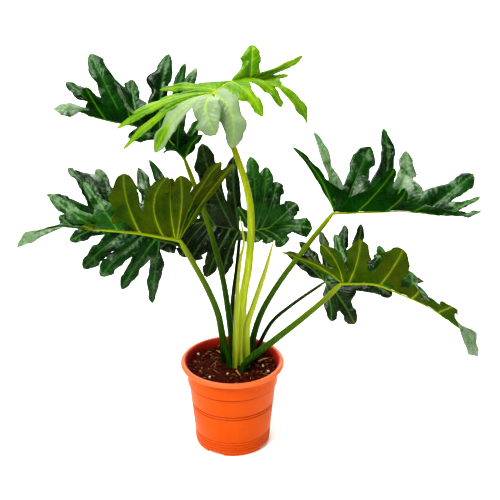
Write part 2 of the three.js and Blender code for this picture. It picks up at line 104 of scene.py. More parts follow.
def srgb(code):
    shares = [int(code[i : i + 2], 16) / 255 for i in (1, 3, 5)]
    return tuple(s / 12.92 if s <= 0.04045 else ((s + 0.055) / 1.055) ** 2.4 for s in shares) + (1,)


def new_material(name):
    material = bpy.data.materials.new(name)
    material.use_nodes = True
    tree = material.node_tree
    return material, tree, tree.nodes["Principled BSDF"]


def only(piece, *materials):
    """Takes off what the piece wears and gives it these."""
    piece.data.materials.clear()
    for material in materials:
        piece.data.materials.append(material)


RGBA = {"data_type": "RGBA"}  # for a Mix node that mixes colours
WHITE = srgb("#FFFFFF")

# %% Floor, sky and lights
FLOOR_SIZE = 40
SKY_STRENGTH = 0.24
KEY_FROM, KEY_STRENGTH, KEY_WIDTH = Vector((-1.6, -1.9, 3.2)), 2.4, math.radians(28)

bpy.ops.mesh.primitive_plane_add(size=FLOOR_SIZE, location=(0, 0, cad_box[0].z))
floor = bpy.context.object
floor.name = "studio_floor"
# Matt paper scatters light evenly, so soft shadows are all that shows on it.
paper, tree, skin = new_material("matt_white_paper")
feed(skin, {"Base Color": srgb("#F6F6F4"), "Roughness": 0.95, "Specular IOR Level": 0.1})
feed(skin, {"Emission Color": WHITE, "Emission Strength": 0.12})
only(floor, paper)

sky = bpy.data.worlds.new("white_studio")
sky.use_nodes = True
feed(sky.node_tree.nodes["Background"], {"Color": WHITE, "Strength": SKY_STRENGTH})
bpy.context.scene.world = sky
bpy.context.scene.view_settings.view_transform = "Standard"
bpy.context.scene.view_settings.look = "High Contrast"


def facing_plant(light, place):
    light.rotation_euler = (TARGET - Vector(place)).to_track_quat("-Z", "Y").to_euler()


bpy.ops.object.light_add(type="SUN", location=(-2, -2, 4))
sun = bpy.context.object
sun.name = "wide_key_light"
sun.data.energy = KEY_STRENGTH
sun.data.angle = KEY_WIDTH
facing_plant(sun, KEY_FROM)

SOFT_BOXES = {  # place, size in metres, watts
    "fill": ((2.0, -1.2, 1.3), 1.6, 6),
    "behind": ((-0.1, 3.9, 2.9), 4.6, 200),
    "above": ((-0.2, -0.15, 2.6), 0.9, 30),
}
for name, (place, size, watts) in SOFT_BOXES.items():
    bpy.ops.object.light_add(type="AREA", location=place)
    box = bpy.context.object
    box.name = "soft_box_" + name
    box.data.size = size
    box.data.energy = watts
    facing_plant(box, place)
print(len(SOFT_BOXES) + 1, "lights")

# %% [markdown]
# ## Two ways of shaping
# The pot is round, so it is shaped as on a potter's wheel: a circle is extruded, lifted and scaled again
# and again along a profile. Everything that grows is shaped from a grid instead: a flat grid is added, and
# each of its corners is carried to its place on a leaf, a stalk or a root. A grid keeps its rows and
# columns, which give the pattern coordinates that veins and streaks need later.

# %% Edit mode helpers
def in_edit_mode(piece, *steps):
    bpy.ops.object.select_all(action="DESELECT")
    piece.select_set(True)
    bpy.context.view_layer.objects.active = piece
    bpy.ops.object.mode_set(mode="EDIT")
    bpy.ops.mesh.select_all(action="SELECT")
    for step in steps:
        step()
    bpy.ops.object.mode_set(mode="OBJECT")


def merged(distance=2e-5):
    return lambda: bpy.ops.mesh.remove_doubles(threshold=distance)


def facing_out():
    bpy.ops.mesh.normals_make_consistent(inside=False)


def shaped_by(piece, kind, **settings):
    """Adds a modifier and applies it at once."""
    bpy.context.view_layer.objects.active = piece
    modifier = piece.modifiers.new(kind.lower(), kind)
    for key, value in settings.items():
        setattr(modifier, key, value)
    bpy.ops.object.modifier_apply(modifier=modifier.name)


def smooth(piece, degrees=None):
    bpy.ops.object.select_all(action="DESELECT")
    piece.select_set(True)
    bpy.context.view_layer.objects.active = piece
    if degrees is None:
        bpy.ops.object.shade_smooth()
    else:
        bpy.ops.object.shade_smooth_by_angle(angle=math.radians(degrees))


def joined(pieces, name):
    bpy.ops.object.select_all(action="DESELECT")
    for piece in pieces:
        piece.select_set(True)
    bpy.context.view_layer.objects.active = pieces[0]
    bpy.ops.object.join()
    pieces[0].name = pieces[0].data.name = name
    return pieces[0]


def finished(piece, slot, *nodes):
    """Every piece rides on the one body and may stand for CAD nodes, which are then hidden. slot is not used.
    """
    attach(piece, "root")
    if nodes:
        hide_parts(*nodes)
    return piece


# %% A turned shape
def turned(name, profile, segments):
    (radius, height), *rest = profile
    bpy.ops.mesh.primitive_circle_add(vertices=segments, radius=radius, location=(0, 0, height))
    piece = bpy.context.object
    bpy.ops.object.transform_apply(location=True)

    def along_profile():
        was, level = radius, height
        for wide, high in rest:
            bpy.ops.mesh.extrude_edges_move(TRANSFORM_OT_translate={"value": (0, 0, high - level)})
            share = wide / was
            bpy.ops.transform.resize(value=(share, share, 1), center_override=(0, 0, high))
            was, level = wide, high

    in_edit_mode(piece, along_profile, merged(), lambda: bpy.ops.mesh.fill_holes(sides=0), facing_out)
    piece.name = piece.data.name = name
    return piece


# %% A grid laid along a surface
def laid(name, columns, rows, place, marks=()):
    """place(column, row) gives a corner's position, and after it one value for each mark."""
    bpy.ops.mesh.primitive_grid_add(x_subdivisions=columns, y_subdivisions=rows, size=1, location=(0, 0, 0))
    piece = bpy.context.object
    piece.name = piece.data.name = name
    values = []
    for corner in piece.data.vertices:
        column = round((corner.co.x + 0.5) * columns)
        row = round((corner.co.y + 0.5) * rows)
        corner.co, *rest = place(column, row)
        values.append(rest)
    for mark in marks:
        piece.data.attributes.new(mark, "FLOAT", "POINT")
    for i, mark in enumerate(marks):
        piece.data.attributes[mark].data.foreach_set("value", [v[i] for v in values])
    return piece


# %% A smooth line through given points
class Line:
    """A centripetal Catmull-Rom curve: it passes through each point without loops or overshoot."""

    def __init__(self, points):
        self.points = [Vector(p) for p in points]

    def at(self, share):
        points = self.points
        place = min(max(share, 0), 1) * (len(points) - 1)
        i = min(int(place), len(points) - 2)
        b, c = points[i], points[i + 1]
        a = points[i - 1] if i > 0 else 2 * b - c
        d = points[i + 2] if i + 2 < len(points) else 2 * c - b
        ab, bc, cd = (math.sqrt((q - p).length) for p, q in ((a, b), (b, c), (c, d)))
        leave = ((b - a) / ab - (c - a) / (ab + bc) + (c - b) / bc) * bc
        arrive = ((c - b) / bc - (d - b) / (bc + cd) + (d - c) / cd) * bc
        t = place - i
        bend = -3 * b + 3 * c - 2 * leave - arrive
        return b + leave * t + bend * t * t + (2 * b - 2 * c + leave + arrive) * t**3

    def direction(self, share):
        return (self.at(min(share + 1e-4, 1)) - self.at(max(share - 1e-4, 0))).normalized()

    def spaced(self, count):
        """count + 1 points at even distances."""
        fine = [self.at(i / 400) for i in range(401)]
        gone = np.cumsum([0] + [(q - p).length for p, q in zip(fine, fine[1:])])
        wanted = np.linspace(0, gone[-1], count + 1)
        return [Vector([np.interp(w, gone, [p[k] for p in fine]) for k in range(3)]) for w in wanted]


# %% A tube rolled from a grid
def tube(name, centres, radius, sides, section=None, marks=(), mark=None):
    """radius(share) is its half width, and section(angle, share) shapes the ring. Both ends are closed."""
    rows = len(centres) + 1
    frames = []
    side = None
    for i, centre in enumerate(centres):
        ahead = (centres[min(i + 1, len(centres) - 1)] - centres[max(i - 1, 0)]).normalized()
        side = ahead.orthogonal() if side is None else side - side.dot(ahead) * ahead
        side.normalize()
        frames.append((centre, side.copy(), ahead.cross(side)))

    def place(column, row):
        i = min(max(row - 1, 0), len(centres) - 1)
        share = i / (len(centres) - 1)
        centre, side, other = frames[i]
        angle = 2 * math.pi * column / sides
        reach = radius(share) if 0 < row < rows else 0
        if section:
            reach *= section(angle, share)
        spot = centre + reach * (math.cos(angle) * side + math.sin(angle) * other)
        return (spot, *(mark(share) if mark else ()))

    piece = laid(name, sides, rows, place, marks)
    in_edit_mode(piece, merged(1e-6), facing_out)
    smooth(piece)
    return piece


print("shaping helpers ready")

# %% [markdown]
# ## The pot
# A nursery pot is blown or injection moulded in polypropylene, so its wall is one thin skin: rolled lip,
# smooth shoulder, a small step, a double groove at half height, fine ribs near the foot, and a foot ring
# with notches that let water out. A lathe profile holds all of that except the notches and drain holes,
# which are cut afterwards. The sharp corners then get a narrow bevel, because a mould never leaves a
# knife edge and the lit line along each edge is what shows that the wall is moulded.

# %% Pot sizes, repeated from the CAD source in metres
POT_HEIGHT = 0.167
SOIL_TOP = 0.155
FLOOR_LOW, FLOOR_TOP = 0.0056, 0.008
PAD_RADIUS = 0.014
NOTCH_WIDTH, NOTCH_HEIGHT, NOTCH_COUNT, NOTCH_FIRST = 0.032, 0.0075, 4, -118
DRAIN_RADIUS, DRAIN_CIRCLE, DRAIN_COUNT = 0.005, 0.042, 6
CROWN = Vector((0.010, 0, SOIL_TOP))
RIB_HEIGHTS = (0.0125, 0.018, 0.0235, 0.029)
POT_SEGMENTS = 144

FOOT_PROFILE = [(0.0004, 0), (PAD_RADIUS, 0), (0.015, FLOOR_LOW), (0.0632, FLOOR_LOW), (0.0628, 0)]
OUTSIDE = [(0.066, 0), (0.0676, 0.0012), (0.0684, 0.003), (0.0697, 0.009)]
for rib in RIB_HEIGHTS:
    wall = 0.0697 + (rib - 0.009) * 0.045
    steps = ((0, -0.0012), (-0.0006, -0.0006), (-0.0006, 0.0006), (0, 0.0012))
    OUTSIDE += [(wall + inward, rib + higher) for inward, higher in steps]
OUTSIDE += [
    (0.0757, 0.0803), (0.0747, 0.0811), (0.0747, 0.0819), (0.0760, 0.0828), (0.0763, 0.0857),
    (0.0752, 0.0866), (0.0752, 0.0874), (0.0767, 0.0883), (0.0800, 0.1246), (0.0804, 0.1251),
    (0.0827, 0.1253), (0.0831, 0.1262), (0.0835, 0.1420), (0.0842, 0.1552), (0.0848, 0.1562),
    (0.0868, 0.1568), (0.0905, 0.1572), (0.0930, 0.1579), (0.0945, 0.1592), (0.0950, 0.1610),
    (0.0949, 0.1632), (0.0942, 0.1652), (0.0930, 0.1665), (0.0914, POT_HEIGHT),
]
INSIDE = [
    (0.0888, 0.1668), (0.0872, 0.1662), (0.0857, 0.1650), (0.0846, 0.1632), (0.0832, 0.1590),
    (0.0820, 0.155), (0.0798, 0.127), (0.0682, 0.030), (0.0672, 0.011), (0.065, FLOOR_TOP),
    (0.0004, FLOOR_TOP),
]

# %% Turn the wall, then cut the notches and the drain holes
pot = turned("nursery_pot", FOOT_PROFILE + OUTSIDE + INSIDE, POT_SEGMENTS)


def cut_with(piece, cutter):
    shaped_by(piece, "BOOLEAN", object=cutter, operation="DIFFERENCE", solver="EXACT")
    bpy.data.objects.remove(cutter)


for i in range(NOTCH_COUNT):
    angle = math.radians(NOTCH_FIRST + i * 360 / NOTCH_COUNT)
    spot = Vector((math.cos(angle), math.sin(angle), 0)) * 0.070
    bpy.ops.mesh.primitive_cube_add(size=1, location=spot, rotation=(0, 0, angle))
    cutter = bpy.context.object
    cutter.scale = (0.024, NOTCH_WIDTH, 2 * NOTCH_HEIGHT - 0.004)
    shaped_by(cutter, "BEVEL", width=0.004, segments=3)
    cut_with(pot, cutter)
for i in range(DRAIN_COUNT):
    angle = 2 * math.pi * (i + 0.5) / DRAIN_COUNT
    spot = Vector((math.cos(angle), math.sin(angle), 0)) * DRAIN_CIRCLE + Vector((0, 0, FLOOR_LOW))
    bpy.ops.mesh.primitive_cylinder_add(vertices=24, radius=DRAIN_RADIUS, depth=0.012, location=spot)
    cut_with(pot, bpy.context.object)
shaped_by(pot, "BEVEL", width=0.00025, segments=2, limit_method="ANGLE", angle_limit=math.radians(28))
smooth(pot, 40)
finished(pot, "pot_plastic", "pot")
lip = 2 * max(corner.co.x for corner in pot.data.vertices)
print("pot:", len(pot.data.polygons), "faces, lip", round(1000 * lip), "mm across")

# %% [markdown]
# ### Moulded polypropylene
# Polypropylene is a soft, slightly waxy plastic: it has an IOR near 1.49, scatters light a little below its
# skin and takes a dull gloss of about 0.4 roughness. Its colour is mixed into the pellets, so it changes
# little, but flow marks leave faint streaks and dust lies on it in specks. A darker line of painted shade
# runs in each groove, under the step and under the lip, and a painted highlight lightens the lip.

# %% Moulded polypropylene
# height, reach and strength of each line of painted shade
PAINTED_GROOVE_SHADE = [(0.0815, 0.0009, 0.6), (0.0870, 0.0009, 0.6), (0.1254, 0.0014, 0.85), (0.1563, 0.0018, 0.7)]
PAINTED_GROOVE_SHADE += [(rib, 0.0008, 0.45) for rib in RIB_HEIGHTS]
LIP_LOW, LIP_HIGH = 0.158, 0.160

# A clean orange with broad, soft highlights, thin dark lines of painted shade in its grooves, and a painted
# highlight on its lip.
plastic, tree, skin = new_material("moulded_polypropylene_orange")
where = add(tree, "TexCoord", out="Object")
flow = add(tree, "Mapping", {"Vector": where, "Scale": (22, 22, 4)})  # flow marks, drawn out upwards
cloud = add(tree, "TexNoise", {"Vector": flow, "Scale": 1.0, "Detail": 4, "Roughness": 0.6})
tone = add(tree, "Mix", {"Factor": cloud, "A": srgb("#BE5004"), "B": srgb("#C85A06")}, **RGBA)
specks = add(tree, "TexNoise", {"Vector": where, "Scale": 260, "Detail": 2})  # dust, about 4 mm
dust = add(tree, "MapRange", {"Value": specks, "From Min": 0.62, "From Max": 0.75, "To Max": 0.35})
tone = add(tree, "Mix", {"Factor": dust, "A": tone, "B": srgb("#E26A28")}, **RGBA)
level = add(tree, "SeparateXYZ", {"Vector": where}, out="Z")
# Painted shade: dark red lines in the grooves, under the step and under the lip.
for groove, reach, share in PAINTED_GROOVE_SHADE:
    inside = add(tree, "Math", {0: level, 1: groove, 2: reach}, operation="COMPARE")
    groove_shade = add(tree, "Math", {0: inside, 1: share}, operation="MULTIPLY")
    tone = add(tree, "Mix", {"Factor": groove_shade, "A": tone, "B": srgb("#8E2400")}, **RGBA)
# Painted highlight: the lip is lightened towards a pale pinkish orange.
painted_lip_highlight = add(tree, "MapRange", {"Value": level, "From Min": LIP_LOW, "From Max": LIP_HIGH, "To Max": 0.5})
tone = add(tree, "Mix", {"Factor": painted_lip_highlight, "A": tone, "B": srgb("#E88058")}, **RGBA)
sheen = add(tree, "MapRange", {"Value": cloud, "To Min": 0.34, "To Max": 0.5})
grain = add(tree, "TexNoise", {"Vector": where, "Scale": 900, "Detail": 3})
bump = add(tree, "Bump", {"Height": grain, "Strength": 0.15, "Distance": 0.0002})
feed(skin, {"Base Color": tone, "Roughness": sheen, "Normal": bump, "IOR": 1.49, "Specular IOR Level": 0.14})
print("pot wall finish ready")

# %% The same plastic inside, darkened with painted shade
FACING_IN = -0.25  # a face's normal against the outward direction

# Painted shade: a deep red-brown, so that the inner wall sinks into shade behind the lip.
painted_shade_inner, tree, skin = new_material("polypropylene_inner_wall_painted_shade")
where = add(tree, "TexCoord", out="Object")
cloud = add(tree, "TexNoise", {"Vector": where, "Scale": 60, "Detail": 4})
tone = add(tree, "Mix", {"Factor": cloud, "A": srgb("#7A1404"), "B": srgb("#C03410")}, **RGBA)
feed(skin, {"Base Color": tone, "Roughness": 0.5, "IOR": 1.49})
only(pot, plastic, painted_shade_inner)
for face in pot.data.polygons:
    outward = Vector((face.center.x, face.center.y, 0)).normalized()
    if face.normal.dot(outward) < FACING_IN and face.center.z > FLOOR_TOP:
        face.material_index = 1
print("pot finish ready")

# %% [markdown]
# ## The potting mix
# Potting mix is peat and composted bark: a dark, crumbly, uneven surface, a little higher round the stem and
# pressed down along the wall. A turned plug gets many rings on top, whose corners noise lifts and drops.
# Loose crumbs, bark and fibres lie on it, because a smooth surface would read as paint. Each crumb is one
# low ball of 20 faces, pushed out of round, since there are hundreds.

# %% The plug of mix
MIX_RADIUS, MIX_RINGS, MIX_SEGMENTS = 0.0815, 42, 120
MIX_WALL = [
    (0.0004, 0.0083), (0.0646, 0.0083), (0.0668, 0.0113), (0.0678, 0.030), (0.0794, 0.127), (0.0812, 0.1525),
]
rings = [(MIX_RADIUS * (1 - k / MIX_RINGS), SOIL_TOP) for k in range(1, MIX_RINGS)]
mix = turned("potting_mix", MIX_WALL + rings, MIX_SEGMENTS)


def mix_height(x, y):
    """How high the surface stands: heaped by the stem, pressed down by the wall, and lumpy all over."""
    from_stem = math.hypot(x - CROWN.x, y - CROWN.y)
    heap = 0.0035 * math.exp(-((from_stem / 0.03) ** 2))
    wall = -0.003 * max(0, (math.hypot(x, y) - 0.066) / 0.0155)
    spot = Vector((x, y, 0))
    lumps = 0.0022 * noise.noise(spot * 62) + 0.0016 * noise.noise(spot * 150)
    crumb = 0.0009 * noise.noise(spot * 380)
    return SOIL_TOP + heap + wall + (lumps + crumb) - 0.0008


for corner in mix.data.vertices:
    if corner.co.z > SOIL_TOP - 0.004:
        corner.co.z = mix_height(corner.co.x, corner.co.y)
smooth(mix)
finished(mix, "potting_mix", "soil")

# %% Crumbs, bark and fibres
def on_mix(low, high):
    turn, out = random.uniform(0, 2 * math.pi), math.sqrt(random.uniform(low**2, high**2))
    x, y = out * math.cos(turn), out * math.sin(turn)
    return x, y, mix_height(x, y)


def crumbs(name, count, smallest, largest, stretch):
    bpy.ops.mesh.primitive_ico_sphere_add(subdivisions=1, radius=1)
    ball = bpy.context.object
    made = []
    for i in range(count):
        crumb = ball.copy()
        crumb.data = ball.data.copy()
        bpy.context.collection.objects.link(crumb)
        size = smallest + (largest - smallest) * random.random() ** 2
        x, y, z = on_mix(0, 0.0805)
        crumb.scale = [size * random.uniform(*span) for span in ((0.8, stretch), (0.7, 1.1), (0.5, 0.9))]
        crumb.rotation_euler = (random.uniform(-0.5, 0.5), random.uniform(-0.5, 0.5), random.uniform(0, 6.28))
        crumb.location = (x, y, z + 0.25 * size)
        for corner in crumb.data.vertices:
            corner.co *= 1 + 0.35 * noise.noise(corner.co * 2 + Vector((i, 0, 0)))
        made.append(crumb)
    bpy.data.objects.remove(ball)
    whole = joined(made, name)
    bpy.ops.object.transform_apply(location=True, rotation=True, scale=True)
    return whole


peat = finished(crumbs("peat_crumbs", 760, 0.0010, 0.0042, 1.5), "potting_mix")
bark = finished(crumbs("bark_chips", 70, 0.0014, 0.0040, 2.4), "potting_mix")
print("mix:", len(peat.data.polygons) + len(bark.data.polygons), "crumb faces")


def fibres(name, count, longest):
    def taper(share):
        return 0.00055 * (1 - 0.5 * share)

    made = []
    for i in range(count):
        x, y, z = on_mix(0.02, 0.076)
        turn, length = random.uniform(0, 6.28), random.uniform(0.4, 1) * longest
        ahead = Vector((math.cos(turn), math.sin(turn), 0)) * length
        bow = Vector((-ahead.y, ahead.x, 0)) * random.uniform(-0.3, 0.3)
        start = Vector((x, y, z + 0.0008))
        line = Line([start, start + ahead * 0.5 + bow + Vector((0, 0, 0.0016)), start + ahead])
        made.append(tube("fibre", line.spaced(6), taper, 5))
    return joined(made, name)


strands = finished(fibres("dry_fibres", 34, 0.016), "root")
print("fibres:", len(strands.data.polygons), "faces")

# %% [markdown]
# ### Damp peat, bark and fibre
# Damp peat is nearly black-brown and dull, with a few wet glints. Bark is redder, and dry fibre is straw
# coloured. Noise at 2 to 5 mm sets the clods apart, and its finer steps, below 1 mm, give the crumb.

# %% Damp peat, bark and dry fibre
def earth(name, dark, light, fleck, fleck_share, size_mm, rough):
    material, tree, skin = new_material(name)
    where = add(tree, "TexCoord", out="Object")
    clods = add(tree, "TexNoise", {"Vector": where, "Scale": 1000 / size_mm, "Detail": 5, "Roughness": 0.7})
    spread = add(tree, "MapRange", {"Value": clods, "From Min": 0.35, "From Max": 0.65})
    body = add(tree, "Mix", {"Factor": spread, "A": srgb(dark), "B": srgb(light)}, **RGBA)
    bits = add(tree, "TexVoronoi", {"Vector": where, "Scale": 420}, out="Color")  # flecks of about 2 mm
    chosen = add(tree, "MapRange", {"Value": bits, "From Min": 1 - fleck_share, "From Max": 1})
    flecked = add(tree, "Mix", {"Factor": chosen, "A": body, "B": srgb(fleck)}, **RGBA)
    bump = add(tree, "Bump", {"Height": clods, "Strength": 0.8, "Distance": 0.0015})
    feed(skin, {"Base Color": flecked, "Normal": bump, "Roughness": rough, "Specular IOR Level": 0.08})
    return material


for piece, material in (
    # Dark clods with brown between them.
    (mix, earth("damp_peat", "#1C0602", "#54200C", "#84502C", 0.16, 5, 0.9)),
    # A shade lighter, because loose crumbs dry first.
    (peat, earth("peat_crumb", "#220A03", "#5E2A12", "#8E643C", 0.16, 4, 0.85)),
    # Reddish flecks that break up the dark.
    (bark, earth("composted_bark", "#4A261A", "#7C4630", "#C09878", 0.3, 3, 0.8)),
    # Short straw-coloured lines.
    (strands, earth("dry_fibre", "#7C5A38", "#C0A078", "#E0D0B0", 0.3, 2, 0.7)),
):
    only(piece, material)
print("mix finish ready")

# %% [markdown]
# ## Where the leaves go
# These lists are the CAD source's own, in metres. A leaf has a junction, where its stalk
# arrives, a midrib that runs on from there, and one row for each lobe: where its vein leaves the midrib
# (0 to 1), where its tip is, and its half width. Some lobes say more: arc bows the vein to the upper side,
# sweep bows it towards the leaf's tip, sinus is how far out the cut beside it starts, and tooth is an extra
# point on one edge.

# %% Stalks, leaves, sheaths, roots and perlite
def lobe(at, tip, wide, **more):
    return {"at": at, "tip": tip, "wide": wide, **more}


STALKS = {
    "front_left": {
        "foot": (-0.014, -0.008),
        "via": [
            (-0.016, -0.015, 0.215), (-0.025, -0.03, 0.277),
            (-0.041, -0.046, 0.331), (-0.06, -0.064, 0.381),
        ],
        "wide": (0.0068, 0.0044),
    },
    "back_left": {
        "foot": (-0.027, 0.009),
        "via": [
            (-0.025, 0.022, 0.241), (-0.044, 0.036, 0.289), (-0.064, 0.042, 0.333),
            (-0.083, 0.04, 0.369), (-0.106, 0.031, 0.388),
        ],
        "wide": (0.0045, 0.0032),
    },
    "upper_left": {
        "foot": (-0.008, 0.015),
        "via": [(-0.016, 0.03, 0.312), (-0.039, 0.048, 0.402), (-0.063, 0.062, 0.475)],
        "wide": (0.006, 0.004),
    },
    "young": {
        "foot": (0.005, 0),
        "via": [
            (0.02, -0.003, 0.295), (0.03, -0.008, 0.362), (0.034, -0.011, 0.459),
            (0.026, -0.012, 0.513), (0.004, -0.008, 0.583),
        ],
        "wide": (0.009, 0.0042),
    },
    "upper_right": {
        "foot": (0.02, 0.008),
        "via": [(0.05, 0.006, 0.251), (0.08, 0.008, 0.311), (0.12, 0.009, 0.372)],
        "wide": (0.0062, 0.0042),
    },
    "front_right": {
        "foot": (0.009, -0.025),
        "via": [(0.084, -0.044, 0.237), (0.121, -0.055, 0.276), (0.164, -0.069, 0.325)],
        "wide": (0.007, 0.0045),
    },
    "back_right": {
        "foot": (0.032, 0.02),
        "via": [(0.072, 0.027, 0.229), (0.106, 0.032, 0.26)],
        "wide": (0.0042, 0.0026),
    },
    "centre_right": {
        "foot": (0.017, 0.024),
        "via": [(0.022, 0.05, 0.24), (0.026, 0.078, 0.31)],
        "wide": (0.0045, 0.003),
    },
    "centre_left": {
        "foot": (0.004, 0.026),
        "via": [(0, 0.058, 0.24), (0.008, 0.104, 0.31)],
        "wide": (0.0045, 0.003),
    },
}

